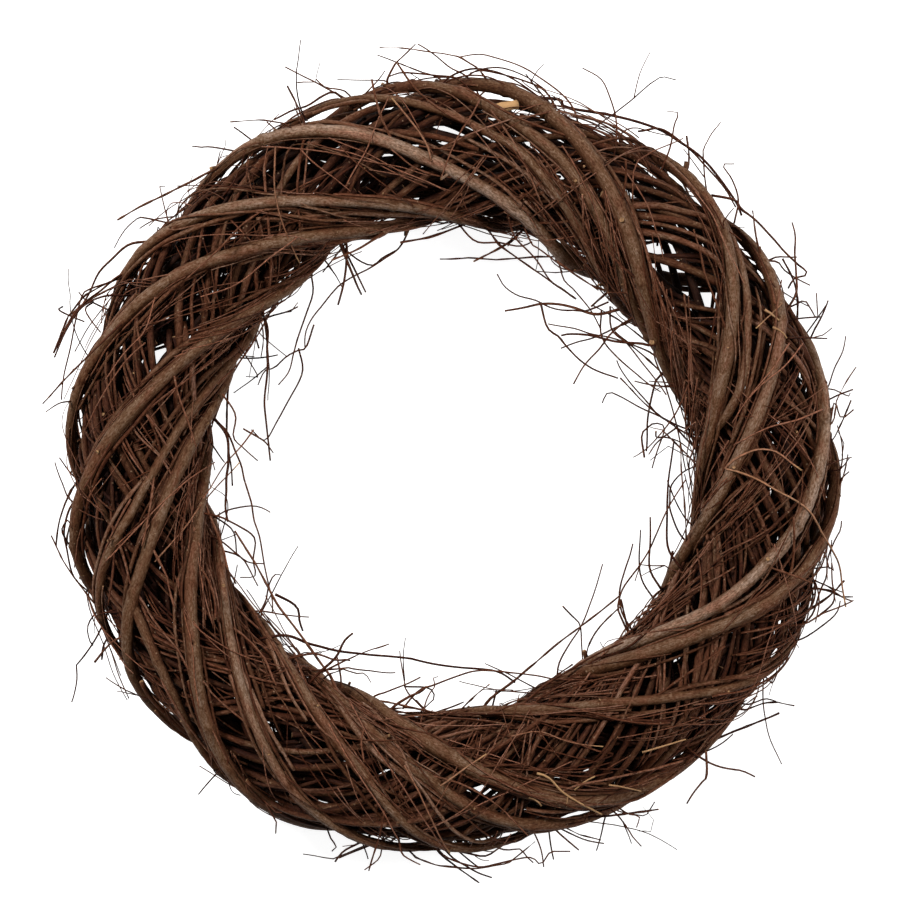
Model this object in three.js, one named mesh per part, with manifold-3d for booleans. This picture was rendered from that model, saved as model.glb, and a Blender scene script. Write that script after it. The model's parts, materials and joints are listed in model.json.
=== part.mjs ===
// A wicker wreath, lying on its back: willow rods wound round a ring, one over another in four layers, with
// the side shoots still on them. Units are millimetres, +Z is up and is the wreath's front.
// From the inside out the layers are: a hoop of core rods twisted together, inner rods wound one way,
// weaver rods wound the other way, and thick binding rods wound the first way again over them all.
import * as THREE from "three";
import { mergeVertices } from "three/addons/utils/BufferGeometryUtils.js";
import Module from "manifold-3d";

const wasm = await Module();
wasm.setup();

// Driving sizes of the ring
const outerDiameter = 500;
const openingDiameter = 304;
const ringDepth = 87;
const footTrim = 0.6; // how far the lowest binding rods are flattened where they rest
const ringRadius = (outerDiameter + openingDiameter) / 4;
const halfWidth = (outerDiameter - openingDiameter) / 4;
const halfDepth = ringDepth / 2;
const centreHeight = halfDepth - footTrim;

// The ring is a little out of round: lobes, size and the bearing of the first lobe, in degrees
const ringLobes = [
  { lobes: 3, size: 1.8, bearing: 107 },
  { lobes: 4, size: 2.0, bearing: 86 },
];

// Gaps between rods that touch on the real wreath
const touchGap = 0.22;
const looseGap = 1.9; // how far apart the layers are laid before each rod is seated
const sampleStep = 1.6; // distance between the points along a rod that gaps are measured from

// Layers: how deep each one's outer side lies below the wreath's skin
const thickestBinding = 5.2;
const thickestWeaver = 3;
const thickestInner = 3.1;
const weaverTop = 2 * thickestBinding + looseGap;
const innerTop = weaverTop + 2 * thickestWeaver + looseGap;
const coreTop = innerTop + 2 * thickestInner + looseGap;

// How far the side shoots may reach
const twigReachOut = 270;
const twigReachIn = 112;
const twigReachUp = 98;
const twigFloor = 1;

// Where each pass of a binding rod over the front crosses the ring: its bearing at the inner edge, at the
// middle of the front and at the outer edge, in degrees anticlockwise from +X, and the rod's radius there.
// "by" is one more point on the way, as bearing and section angle
const passes = [
  { inner: 297, front: 331, outer: 357.5, radius: 4.8 },
  { inner: 306, front: 340, outer: 377, radius: 4.5 },
  { inner: 338, front: 372, outer: 396, radius: 4.6 },
  { inner: 355, front: 386.5, outer: 412, radius: 4.8 },
  { inner: 383, front: 417.8, outer: 447, radius: 5.2 },
  { inner: 393, front: 426, outer: 459, radius: 4.2, by: [443.5, 51] },
  { inner: 404, front: 436, outer: 469, radius: 3.1, by: [447, 68] },
  { inner: 420, front: 457, outer: 486, radius: 4.5 },
  { inner: 444, front: 482.5, outer: 509, radius: 3.9 },
  { inner: 462, front: 498, outer: 533, radius: 4.3 },
  { inner: 490, front: 528, outer: 554, radius: 4.5 },
  { inner: 510, front: 546.5, outer: 566, radius: 3.1 },
  { inner: 520, front: 556.5, outer: 577.5, radius: 4.5 },
  { inner: 538, front: 575.6, outer: 604, radius: 4.8 },
  { inner: 556, front: 591, outer: 621, radius: 3.6 },
  { inner: 581, front: 614, outer: 635, radius: 3.4 },
  { inner: 597, front: 628, outer: 655, radius: 4.1 },
  { inner: 609, front: 639, outer: 670, radius: 5.2 },
  { inner: 635, front: 673, outer: 693, radius: 3.3 },
];
const passStride = 6; // a rod that leaves one pass over the outer edge comes back as the sixth pass on

// The binding rods: the pass each starts with and how many it makes
const bindings = {
  name: "binding_rod",
  top: 0,
  sides: 6,
  stationStep: 8.5,
  bark: 0x6a4d3c,
  shoots: [
    { kind: "follower", every: 33, offset: 8 },
    { kind: "stray", every: 13, offset: 5 },
  ],
  runs: [
    { first: 12, count: 2 },
    { first: 5, count: 2 },
    { first: 17, count: 4 },
    { first: 3, count: 3 },
    { first: 2, count: 3 },
    { first: 1, count: 2 },
    { first: 13, count: 3 },
  ],
};
const endShare = 0.45; // share of the back that a rod covers before its first pass and after its last

// Limbs of the binding rods, as knots of bearing and section angle: the fork's second arm, the thinner arm
// that runs beside its rod at the upper right, and the stub that was cut off short at the top
const limbs = [
  {
    rod: "binding_rod_1",
    thick: 3.4,
    thin: 2.4,
    knots: [[563, 66], [571, 62], [577.5, 53], [584, 39], [590, 20], [598, -10]],
  },
  {
    rod: "binding_rod_4",
    thick: 3.2,
    thin: 2.6,
    knots: [[367, 146], [375, 107], [388, 70], [400, 33], [410, 0], [418, -22]],
  },
  {
    rod: "binding_rod_2",
    thick: 3.1,
    thin: 3,
    knots: [[443.3, 52], [441.4, 45.5], [439.6, 39]],
  },
];
const limbStep = 6;

// The shoots that stand out furthest at the edges: the bearing where each leaves its rod, and points on its
// way from there
const longShoots = [
  {
    rod: "binding_rod_2",
    bearing: 459.5,
    thick: 0.75,
    way: [[-40, 251, 45], [-34, 261, 48], [-22, 272.5, 52]],
  },
  {
    rod: "binding_rod_3",
    bearing: 810,
    thick: 0.7,
    way: [[-8, 253, 34], [-19, 257, 32], [-33, 262, 33], [-47, 267, 36]],
  },
  {
    rod: "binding_rod_3",
    bearing: 803.6,
    thick: 0.65,
    way: [[18, 257, 56], [6, 264, 60], [-6, 266, 62], [-45, 269, 66]],
  },
  {
    rod: "binding_rod_6",
    bearing: 474.3,
    thick: 0.65,
    way: [[-106, 220, 70], [-121, 222, 72], [-140, 221, 70]],
  },
  {
    rod: "binding_rod_5",
    bearing: 508.6,
    thick: 0.75,
    way: [[-222, 118, 46], [-235, 110, 48], [-245, 97, 52], [-254, 74, 56]],
  },
  {
    rod: "binding_rod_2",
    bearing: 563,
    thick: 0.7,
    way: [[-228, -86, 54], [-241, -69, 55], [-249, -56, 54], [-256, -43, 52]],
  },
  {
    rod: "binding_rod_5",
    bearing: 623,
    thick: 0.65,
    way: [[-22, -251, 40], [-8, -256, 44], [19, -257, 47], [38, -254, 47], [55, -240, 44]],
  },
  {
    rod: "binding_rod_5",
    bearing: 627,
    thick: 0.75,
    way: [[-5, -251, 26], [6, -260, 24], [19, -269, 24]],
  },
  {
    rod: "binding_rod_4",
    bearing: 646.5,
    thick: 0.6,
    way: [[74, -233, 20], [84, -238, 22], [98, -241, 26]],
  },
  {
    rod: "binding_rod_3",
    bearing: 680,
    thick: 0.65,
    way: [[191, -157, 28], [203, -152, 33], [211, -151, 37], [222, -153, 40]],
  },
  {
    rod: "binding_rod_1",
    bearing: 701,
    thick: 0.65,
    way: [[237, -77, 26], [246, -79, 28], [254, -83, 32], [260.5, -83, 35]],
  },
  {
    rod: "binding_rod_7",
    bearing: 723,
    thick: 0.65,
    way: [[249, 20, 29], [254, 31, 32], [259, 44, 36]],
  },
  {
    rod: "binding_rod_6",
    bearing: 365.8,
    thick: 0.65,
    way: [[245, 30, 64], [247, 43, 62], [253, 54, 60], [260, 65, 58]],
  },
  {
    rod: "binding_rod_5",
    bearing: 442.6,
    thick: 0.75,
    way: [[32, 144, 42], [46, 133, 44], [61, 123, 46], [81, 109, 48]],
  },
  {
    rod: "binding_rod_3",
    bearing: 964,
    thick: 0.95,
    way: [[-76, -133, 58], [-93, -109, 58], [-109, -88, 57], [-126, -60, 55], [-138, -40, 53]],
  },
  {
    rod: "binding_rod_1",
    bearing: 637,
    thick: 0.85,
    way: [[26, -148, 48], [52, -126, 50], [82, -103, 50], [109, -82, 46]],
  },
];

// The other layers: turns round the section in one round of the ring, and where each rod lies at bearing 0
const weavers = {
  name: "weaver_rod",
  turns: 3,
  top: weaverTop,
  thick: thickestWeaver,
  thin: 1.9,
  sides: 5,
  stepsPerTurn: 11,
  span: [285, 345],
  places: [0, 17, 34, 66, 83, 117, 134, 151, 188, 205, 239, 256, 273, 305, 322],
  bark: 0x5c4031,
  shoots: [{ kind: "lying", every: 80, offset: 12 }],
};
const inners = {
  name: "inner_rod",
  turns: -2,
  top: innerTop,
  thick: thickestInner,
  thin: 2.3,
  sides: 5,
  stepsPerTurn: 12,
  span: [290, 340],
  places: [10, 62, 108, 165, 214, 260, 318],
  bark: 0x513729,
};
const cores = {
  name: "core_rod",
  turns: 1,
  top: coreTop,
  thick: 3.3,
  thin: 2.7,
  sides: 5,
  stepsPerTurn: 22,
  span: [335, 345],
  places: [0, 90, 180, 270],
  bark: 0x4a3226,
};

const rad = THREE.MathUtils.degToRad;

// A repeatable stream of numbers from 0 to 1
function draws(seed) {
  let state = seed * 7919 + 101;
  return () => {
    state = (state * 16807) % 2147483647;
    return state / 2147483647;
  };
}

const between = (low, high, share) => low + (high - low) * share;

// A point of the wreath by its bearing round the ring, its angle round the section (0 at the outer edge, 90
// on the front, 180 at the inner edge) and its depth below the skin
function wreathPoint(bearing, angle, depth) {
  const turn = rad(angle);
  const across = halfDepth * Math.cos(turn);
  const up = halfWidth * Math.sin(turn);
  const size = Math.hypot(across, up);
  const wander = ringLobes.map((lobe) => lobe.size * Math.cos(rad(lobe.lobes * (bearing - lobe.bearing))));
  const radius = ringRadius + wander[0] + wander[1] + halfWidth * Math.cos(turn) - (depth * across) / size;
  const height = centreHeight + halfDepth * Math.sin(turn) - (depth * up) / size;
  return new THREE.Vector3(radius * Math.cos(rad(bearing)), radius * Math.sin(rad(bearing)), height);
}

// A smooth line through knots [x, y], as a cubic between each two
function smoothThrough(knots, x) {
  let i = 0;
  while (i < knots.length - 2 && x > knots[i + 1][0]) i += 1;
  const slope = (k) => {
    const a = knots[Math.max(k - 1, 0)];
    const b = knots[Math.min(k + 1, knots.length - 1)];
    return (b[1] - a[1]) / (b[0] - a[0]);
  };
  const [x0, y0] = knots[i];
  const [x1, y1] = knots[i + 1];
  const width = x1 - x0;
  const t = (x - x0) / width;
  return (
    y0 * (1 + 2 * t) * (1 - t) ** 2 +
    slope(i) * width * t * (1 - t) ** 2 +
    y1 * t * t * (3 - 2 * t) -
    slope(i + 1) * width * t * t * (1 - t)
  );
}

// The binding rods' routes: bearing from start to end, the angle and the radius at each bearing
function bindingRoute({ first, count }, index) {
  const pass = (n) => {
    const lap = 360 * Math.floor(n / passes.length);
    const p = passes[n % passes.length];
    const by = p.by ? [[p.by[0] + lap, p.by[1]]] : [];
    return { inner: p.inner + lap, front: p.front + lap, outer: p.outer + lap, radius: p.radius, by };
  };
  const run = Array.from({ length: count }, (_, k) => pass(first + passStride * k));
  const before = pass(first - passStride + passes.length).outer - 360;
  const after = pass(first + passStride * count).inner;
  const start = run[0].inner - endShare * (run[0].inner - before);
  const end = run[count - 1].outer + endShare * (after - run[count - 1].outer);
  const knots = [[before, 360]];
  run.forEach((p, k) => {
    knots.push([p.inner, 180 - 360 * k], [p.front, 90 - 360 * k]);
    knots.push(...p.by.map(([bearing, angle]) => [bearing, angle - 360 * k]), [p.outer, -360 * k]);
  });
  knots.push([after, 180 - 360 * count]);
  const girth = run.map((p) => [p.front, p.radius]);
  girth.unshift([start, run[0].radius]);
  girth.push([end, run[count - 1].radius * 0.8]);
  return {
    name: `${bindings.name}_${index + 1}`,
    layer: bindings,
    start,
    end,
    steps: Math.round((end - start) / bindings.stationStep),
    angle: (bearing) => smoothThrough(knots, bearing),
    radius: (bearing) => smoothThrough(girth, bearing),
  };
}

// How far the rods of a layer stray from an even winding. Neighbours stray alike, so that they never meet
const wobble = (bearing, place) => 6 * Math.sin(rad(bearing + place)) + 7 * Math.sin(rad(2 * bearing + 40));

// The routes of a layer whose rods all wind alike
function layerRoutes(layer, seed) {
  const draw = draws(seed);
  return layer.places.map((place, index) => {
    const span = between(layer.span[0], layer.span[1], draw());
    const start = 360 * draw();
    return {
      name: `${layer.name}_${String(index + 1).padStart(2, "0")}`,
      layer,
      start,
      end: start + span,
      steps: Math.round((Math.abs(layer.turns) * layer.stepsPerTurn * span) / 360),
      angle: (bearing) => place + layer.turns * bearing + wobble(bearing, place),
      radius: (bearing) => between(layer.thick, layer.thin, (bearing - start) / span),
    };
  });
}

// How deep a rod's centre lies. A binding rod lies on the weavers in front, and with its outer side on the
// skin at the back, where the wreath rests. The others lie against what is wound over them
function depthOf(rod, radius, angle) {
  if (rod.layer !== bindings) return rod.layer.top - rod.lift + radius;
  const frontShare = (1 + Math.sin(rad(angle))) / 2;
  return between(radius, 2 * thickestBinding - radius, frontShare);
}

// The centre of a rod's branch, or of the rod, with this radius
const centreAt = (rod, bearing, angle, radius) => wreathPoint(bearing, angle, depthOf(rod, radius, angle));

// A rod's stations from end to end, where its layer is lifted this far
function withStations(rod, lift) {
  const lifted = { ...rod, lift };
  const shares = Array.from({ length: rod.steps + 1 }, (_, k) => k / rod.steps);
  const bearings = shares.map((share) => between(rod.start, rod.end, share));
  const girths = bearings.map(rod.radius);
  const points = bearings.map((b, k) => centreAt(lifted, b, rod.angle(b), girths[k]));
  return { ...lifted, points, girths };
}

// A rod's centre at a bearing, on the straight between two stations
function rodPoint(rod, bearing) {
  const place = ((bearing - rod.start) / (rod.end - rod.start)) * rod.steps;
  const k = THREE.MathUtils.clamp(Math.floor(place), 0, rod.steps - 1);
  return rod.points[k].clone().lerp(rod.points[k + 1], place - k);
}

// A tapering tube through points, as a cylinder bent along them
function tubeThrough(points, radii, sides) {
  const steps = points.length - 1;
  const tube = new THREE.CylinderGeometry(1, 1, 1, sides, steps);
  const along = points.map((_, k) =>
    points[Math.min(k + 1, steps)].clone().sub(points[Math.max(k - 1, 0)]).normalize(),
  );
  const right = [];
  along.forEach((t, k) => {
    const guess = k ? right[k - 1].clone() : new THREE.Vector3(0, 0, 1);
    right.push(guess.addScaledVector(t, -guess.dot(t)).normalize());
  });
  const place = tube.attributes.position;
  for (let i = 0; i < place.count; i += 1) {
    const k = Math.round((place.getY(i) + 0.5) * steps);
    const third = right[k].clone().cross(along[k]);
    const p = points[k]
      .clone()
      .addScaledVector(right[k], radii[k] * place.getX(i))
      .addScaledVector(third, radii[k] * place.getZ(i));
    place.setXYZ(i, p.x, p.y, p.z);
  }
  return tube;
}

function toSolid(geometry) {
  geometry.deleteAttribute("normal");
  geometry.deleteAttribute("uv");
  const merged = mergeVertices(geometry, 1e-3);
  return new wasm.Manifold(
    new wasm.Mesh({
      numProp: 3,
      vertProperties: merged.attributes.position.array,
      triVerts: new Uint32Array(merged.index.array),
    }),
  );
}

function toGeometry(solid) {
  const mesh = solid.getMesh();
  return new THREE.BufferGeometry()
    .setAttribute("position", new THREE.BufferAttribute(mesh.vertProperties, 3))
    .setIndex(new THREE.BufferAttribute(mesh.triVerts, 1));
}

// Points along every rod and shoot, sorted into cells, to measure gaps from
const cellSize = 12;
const cells = new Map();
const cellOf = (...place) => place.map((x) => Math.floor(x / cellSize)).join();

function samplesAlong({ points, girths }) {
  const samples = [{ at: points[0], radius: girths[0] }];
  for (let k = 1; k < points.length; k += 1) {
    const parts = Math.ceil(points[k - 1].distanceTo(points[k]) / sampleStep);
    for (let j = 1; j <= parts; j += 1) {
      const at = points[k - 1].clone().lerp(points[k], j / parts);
      samples.push({ at, radius: between(girths[k - 1], girths[k], j / parts) });
    }
  }
  return samples;
}

function take(tube, name) {
  for (const { at, radius } of samplesAlong(tube)) {
    const key = cellOf(at.x, at.y, at.z);
    if (!cells.has(key)) cells.set(key, []);
    cells.get(key).push({ at, radius, name });
  }
}

// The gap from a ball to the nearest thing that isn't part of the named rod
function gapAt({ at, radius }, name) {
  let gap = cellSize;
  for (const dx of [-cellSize, 0, cellSize]) {
    for (const dy of [-cellSize, 0, cellSize]) {
      for (const dz of [-cellSize, 0, cellSize]) {
        for (const other of cells.get(cellOf(at.x + dx, at.y + dy, at.z + dz)) ?? []) {
          if (other.name !== name) gap = Math.min(gap, at.distanceTo(other.at) - radius - other.radius);
        }
      }
    }
  }
  return gap;
}

// Seats a rod: it is lifted out from the ring's middle until it nearly touches what is wound over it
function seated(rod) {
  let lift = 0;
  for (let round = 0; rod.layer !== bindings && round < 3; round += 1) {
    lift += Math.min(...samplesAlong(withStations(rod, lift)).map((s) => gapAt(s, rod.name))) - touchGap;
  }
  const placed = withStations(rod, lift);
  take(placed, rod.name);
  return placed;
}

const rods = [
  ...bindings.runs.map(bindingRoute),
  ...layerRoutes(weavers, 3),
  ...layerRoutes(inners, 13),
  ...layerRoutes(cores, 23),
].map(seated);

// Whether a shoot stays clear of the other rods
const isClear = (tube, name) => samplesAlong(tube).every((sample) => gapAt(sample, name) > touchGap);

// Whether a shoot stays within the wreath's reach
function isWithinReach(tube) {
  return samplesAlong(tube).every(({ at, radius }) => {
    const out = Math.hypot(at.x, at.y);
    return at.z - radius > twigFloor && at.z < twigReachUp && out < twigReachOut && out > twigReachIn;
  });
}

// A limb as thick as a small rod, along hand-set knots, with its root in the middle of its rod
function limbTube({ knots, thick, thin }, rod) {
  const points = [rodPoint(rod, knots[0][0])];
  const girths = [thick];
  const end = knots[knots.length - 1][0];
  const steps = Math.max(1, Math.round(Math.abs(end - knots[0][0]) / limbStep));
  for (let k = 1; k <= steps; k += 1) {
    const bearing = between(knots[0][0], end, k / steps);
    const girth = between(thick, thin, k / steps);
    points.push(centreAt(rod, bearing, smoothThrough(knots, bearing), girth));
    girths.push(girth);
  }
  return { points, girths, sides: 5 };
}

// A long shoot, straight between its hand-set points
function longTube({ bearing, thick, way }, rod) {
  const points = [rodPoint(rod, bearing), ...way.map((point) => new THREE.Vector3(...point))];
  return { points, girths: points.map((_, k) => thick * between(1, 0.7, k / way.length)), sides: 3 };
}

// A follower leaves its rod, lies down beside it and runs along with it
function followerTube(rod, bearing, draw) {
  const side = draw() < 0.5 ? -1 : 1;
  const beside = side * between(11, 15, draw());
  const span = between(20, 44, draw());
  const thick = between(1.3, 2.4, draw());
  const steps = Math.round(span / 7);
  const points = [rodPoint(rod, bearing)];
  const girths = [thick];
  for (let k = 1; k <= steps; k += 1) {
    const t = k / steps;
    const b = bearing + span * t;
    const girth = thick * between(1, 0.55, t);
    const lean = Math.min(1, (2 * k) / 3);
    points.push(centreAt(rod, b, rod.angle(b) + beside * lean, between(rod.radius(b), girth, lean)));
    girths.push(girth);
  }
  return { points, girths, sides: 4 };
}

// A lying shoot leaves its rod at a slant and stays in its layer
function lyingTube(rod, bearing, draw) {
  const drift = (draw() < 0.5 ? -1 : 1) * between(9, 20, draw());
  const span = between(14, 26, draw());
  const thick = between(0.8, 1.2, draw());
  const steps = 4;
  const points = [rodPoint(rod, bearing)];
  for (let k = 1; k <= steps; k += 1) {
    const t = k / steps;
    const b = bearing + span * t;
    const depth = rod.layer.top + rod.radius(bearing) * between(0.9, 0.6, t);
    points.push(wreathPoint(b, rod.angle(b) + drift * Math.min(1, 1.6 * t), depth));
  }
  return { points, girths: points.map((_, k) => thick * between(1, 0.7, k / steps)), sides: 3 };
}

// A stray leaves its rod and the wreath's skin, bends over and ends in the open
function strayTube(rod, bearing, draw) {
  const start = rodPoint(rod, bearing);
  const along = rodPoint(rod, bearing + 1).sub(rodPoint(rod, bearing - 1)).normalize();
  const angle = rod.angle(bearing);
  const outward = wreathPoint(bearing, angle, 0).sub(wreathPoint(bearing, angle, 1));
  const side = outward.clone().cross(along).normalize();
  const length = between(34, 92, draw() ** 1.4);
  const swing = (draw() < 0.5 ? -1 : 1) * between(14, 60, draw());
  const lift = between(14, 34, draw());
  const turnBack = between(-50, 26, draw());
  const drop = between(-30, 6, draw());
  const thick = between(0.58, 0.95, draw());
  const heading = (turn, rise) =>
    along
      .clone()
      .multiplyScalar(Math.cos(rad(turn)) * Math.cos(rad(rise)))
      .addScaledVector(side, Math.sin(rad(turn)) * Math.cos(rad(rise)))
      .addScaledVector(outward, Math.sin(rad(rise)));
  const middle = start.clone().addScaledVector(heading(swing, lift), length / 2);
  const onward = heading(swing + Math.sign(swing) * turnBack, lift + drop);
  const end = middle.clone().addScaledVector(onward, length / 2);
  const steps = 3;
  const points = new THREE.QuadraticBezierCurve3(start, middle, end).getPoints(steps);
  return { points, girths: points.map((_, k) => thick * between(1, 0.78, k / steps)), sides: 3 };
}

const shootKinds = { follower: followerTube, lying: lyingTube, stray: strayTube };

// The shoots of a rod, offered at even steps along it and kept where they are clear
function shootsOf(rod, index) {
  const kept = [];
  for (const { kind, every, offset } of rod.layer.shoots ?? []) {
    for (let b = rod.start + offset; b < rod.end - offset; b += every) {
      const shoot = shootKinds[kind](rod, b, draws(1000 * (index + 1) + Math.floor(b)));
      if (!isWithinReach(shoot) || !isClear(shoot, rod.name)) continue;
      take(shoot, rod.name);
      kept.push(shoot);
    }
  }
  return kept;
}

const ground = toSolid(new THREE.BoxGeometry(700, 700, 40).translate(0, 0, -20));

function rodSolid(rod, tubes) {
  let solid = toSolid(tubeThrough(rod.points, rod.girths, rod.layer.sides));
  for (const tube of tubes) solid = solid.add(toSolid(tubeThrough(tube.points, tube.girths, tube.sides)));
  return rod.layer === bindings ? solid.subtract(ground) : solid;
}

// The limbs and shoots set by hand come first, so that the drawn ones keep clear of them
const setTubes = rods.map((rod) => [
  ...limbs.filter((limb) => limb.rod === rod.name).map((limb) => limbTube(limb, rod)),
  ...longShoots.filter((shoot) => shoot.rod === rod.name).map((shoot) => longTube(shoot, rod)),
]);
rods.forEach((rod, index) => setTubes[index].forEach((tube) => take(tube, rod.name)));

const wreath = new THREE.Group();
rods.forEach((rod, index) => {
  const solid = rodSolid(rod, [...setTubes[index], ...shootsOf(rod, index)]);
  const bark = new THREE.MeshStandardMaterial({ color: rod.layer.bark, roughness: 0.85, metalness: 0 });
  const mesh = new THREE.Mesh(toGeometry(solid), bark);
  mesh.name = rod.name;
  wreath.add(mesh);
});

export default wreath;
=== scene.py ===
# Wicker wreath: willow rods wound round a ring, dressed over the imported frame.
# Rods and shoots are worked out in millimetres and turned to metres when their mesh is made.
import json
import math

import bpy
import numpy as np
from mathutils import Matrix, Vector
from mathutils.kdtree import KDTree

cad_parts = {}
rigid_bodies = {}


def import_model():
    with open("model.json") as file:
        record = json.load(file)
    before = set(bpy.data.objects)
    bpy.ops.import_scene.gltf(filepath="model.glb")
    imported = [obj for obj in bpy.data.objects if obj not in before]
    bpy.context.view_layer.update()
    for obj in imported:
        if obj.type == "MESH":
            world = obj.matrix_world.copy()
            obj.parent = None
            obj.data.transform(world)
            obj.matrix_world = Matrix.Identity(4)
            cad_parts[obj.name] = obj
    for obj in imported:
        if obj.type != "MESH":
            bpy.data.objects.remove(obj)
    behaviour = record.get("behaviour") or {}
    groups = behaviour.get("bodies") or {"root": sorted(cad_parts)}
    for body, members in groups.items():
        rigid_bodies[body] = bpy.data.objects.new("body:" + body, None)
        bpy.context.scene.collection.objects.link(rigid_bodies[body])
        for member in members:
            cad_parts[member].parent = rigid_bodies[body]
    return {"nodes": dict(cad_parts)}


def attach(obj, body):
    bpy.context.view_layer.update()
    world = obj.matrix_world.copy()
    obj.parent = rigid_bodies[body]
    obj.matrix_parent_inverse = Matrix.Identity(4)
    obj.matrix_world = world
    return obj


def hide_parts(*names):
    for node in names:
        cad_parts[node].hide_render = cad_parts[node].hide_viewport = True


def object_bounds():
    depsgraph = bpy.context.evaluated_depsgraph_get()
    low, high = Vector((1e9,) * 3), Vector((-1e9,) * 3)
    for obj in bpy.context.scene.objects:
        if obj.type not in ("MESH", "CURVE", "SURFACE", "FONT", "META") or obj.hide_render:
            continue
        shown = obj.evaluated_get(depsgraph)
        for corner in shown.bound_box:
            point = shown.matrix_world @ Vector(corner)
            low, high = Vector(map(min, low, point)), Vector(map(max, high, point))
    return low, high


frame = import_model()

# the startup cube, lamp and camera aren't wanted
for spare in [o for o in bpy.data.objects if o.name in ("Cube", "Light", "Camera")]:
    bpy.data.objects.remove(spare)
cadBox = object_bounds()
bpy.ops.object.select_all(action="DESELECT")
print("frame loaded,", len(frame["nodes"]), "nodes")

# the ring and its windings, as in the part's source
ringLook = {
    "outerDiameter": 500,
    "openingDiameter": 304,
    "depth": 87,
    "footTrim": 0.6,
    "lobes": [(3, 1.8, 107), (4, 2.0, 86)],  # out of round: lobes, size, bearing
}
ringRadius = (ringLook["outerDiameter"] + ringLook["openingDiameter"]) / 4
halfWidth = (ringLook["outerDiameter"] - ringLook["openingDiameter"]) / 4
halfDepth = ringLook["depth"] / 2
centreHeight = halfDepth - ringLook["footTrim"]

# how deep each layer is laid before its rods are seated
looseGap = 1.9
thickestBinding = 5.2
thickestWeaver = 3
thickestInner = 3.1
weaverTop = 2 * thickestBinding + looseGap
innerTop = weaverTop + 2 * thickestWeaver + looseGap
coreTop = innerTop + 2 * thickestInner + looseGap

# inner edge, front middle and outer edge of each pass, as bearings, then the rod's radius there.
# Two go by a bearing and an angle more.
passes = [
    (297, 331, 357.5, 4.8),
    (306, 340, 377, 4.5),
    (338, 372, 396, 4.6),
    (355, 386.5, 412, 4.8),
    (383, 417.8, 447, 5.2),
    (393, 426, 459, 4.2, (443.5, 51)),
    (404, 436, 469, 3.1, (447, 68)),
    (420, 457, 486, 4.5),
    (444, 482.5, 509, 3.9),
    (462, 498, 533, 4.3),
    (490, 528, 554, 4.5),
    (510, 546.5, 566, 3.1),
    (520, 556.5, 577.5, 4.5),
    (538, 575.6, 604, 4.8),
    (556, 591, 621, 3.6),
    (581, 614, 635, 3.4),
    (597, 628, 655, 4.1),
    (609, 639, 670, 5.2),
    (635, 673, 693, 3.3),
]
passStride = 6  # from one pass of a rod to its next
endShare = 0.45  # of the way to the pass before or after, which a rod's ends go on for

bindings = {
    "name": "binding_rod",
    "stationStep": 8.5,  # degrees
    "endGirth": 0.8,  # of its radius in its last pass
    "shoots": [("follower", 33, 8), ("stray", 13, 5)],  # kind, offered every, degrees from the rod's ends
    "runs": [(12, 2), (5, 2), (17, 4), (3, 3), (2, 3), (1, 2), (13, 3)],  # first pass and how many
    "tones": (0.28, 0.32, 0.3, 0.42, 0.6, 0.95, 0.36),  # how light each rod's bark is
    "slot": "binding_bark",
}
# limbs that branch off a rod: girths at the root and the end, and the bearings and angles they go by
limbs = [
    {"rod": "binding_rod_1", "thick": 3.4, "thin": 2.4,
     "knots": [(563, 66), (571, 62), (577.5, 53), (584, 39), (590, 20), (598, -10)]},
    {"rod": "binding_rod_4", "thick": 3.2, "thin": 2.6,
     "knots": [(367, 146), (375, 107), (388, 70), (400, 33), (410, 0), (418, -22)]},
    {"rod": "binding_rod_2", "thick": 3.1, "thin": 3, "peeled": True,
     "knots": [(443.3, 52), (441.4, 45.5), (439.6, 39)]},
]
# long shoots: their rod, the bearing they start at, their girth and where they go, in mm
longShoots = [
    ("binding_rod_2", 459.5, 0.75, [(-40, 251, 45), (-34, 261, 48), (-22, 272.5, 52)]),
    ("binding_rod_3", 810, 0.7, [(-8, 253, 34), (-19, 257, 32), (-33, 262, 33), (-47, 267, 36)]),
    ("binding_rod_3", 803.6, 0.65, [(18, 257, 56), (6, 264, 60), (-6, 266, 62), (-45, 269, 66)]),
    ("binding_rod_6", 474.3, 0.65, [(-106, 220, 70), (-121, 222, 72), (-140, 221, 70)]),
    ("binding_rod_5", 508.6, 0.75, [(-222, 118, 46), (-235, 110, 48), (-245, 97, 52), (-254, 74, 56)]),
    ("binding_rod_2", 563, 0.7, [(-228, -86, 54), (-241, -69, 55), (-249, -56, 54), (-256, -43, 52)]),
    ("binding_rod_5", 623, 0.65,
     [(-22, -251, 40), (-8, -256, 44), (19, -257, 47), (38, -254, 47), (55, -240, 44)]),
    ("binding_rod_5", 627, 0.75, [(-5, -251, 26), (6, -260, 24), (19, -269, 24)]),
    ("binding_rod_4", 646.5, 0.6, [(74, -233, 20), (84, -238, 22), (98, -241, 26)]),
    ("binding_rod_3", 680, 0.65, [(191, -157, 28), (203, -152, 33), (211, -151, 37), (222, -153, 40)]),
    ("binding_rod_1", 701, 0.65, [(237, -77, 26), (246, -79, 28), (254, -83, 32), (260.5, -83, 35)]),
    ("binding_rod_7", 723, 0.65, [(249, 20, 29), (254, 31, 32), (259, 44, 36)]),
    ("binding_rod_6", 365.8, 0.65, [(245, 30, 64), (247, 43, 62), (253, 54, 60), (260, 65, 58)]),
    ("binding_rod_5", 442.6, 0.75, [(32, 144, 42), (46, 133, 44), (61, 123, 46), (81, 109, 48)]),
    ("binding_rod_3", 964, 0.95,
     [(-76, -133, 58), (-93, -109, 58), (-109, -88, 57), (-126, -60, 55), (-138, -40, 53)]),
    ("binding_rod_1", 637, 0.85, [(26, -148, 48), (52, -126, 50), (82, -103, 50), (109, -82, 46)]),
]
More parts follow.
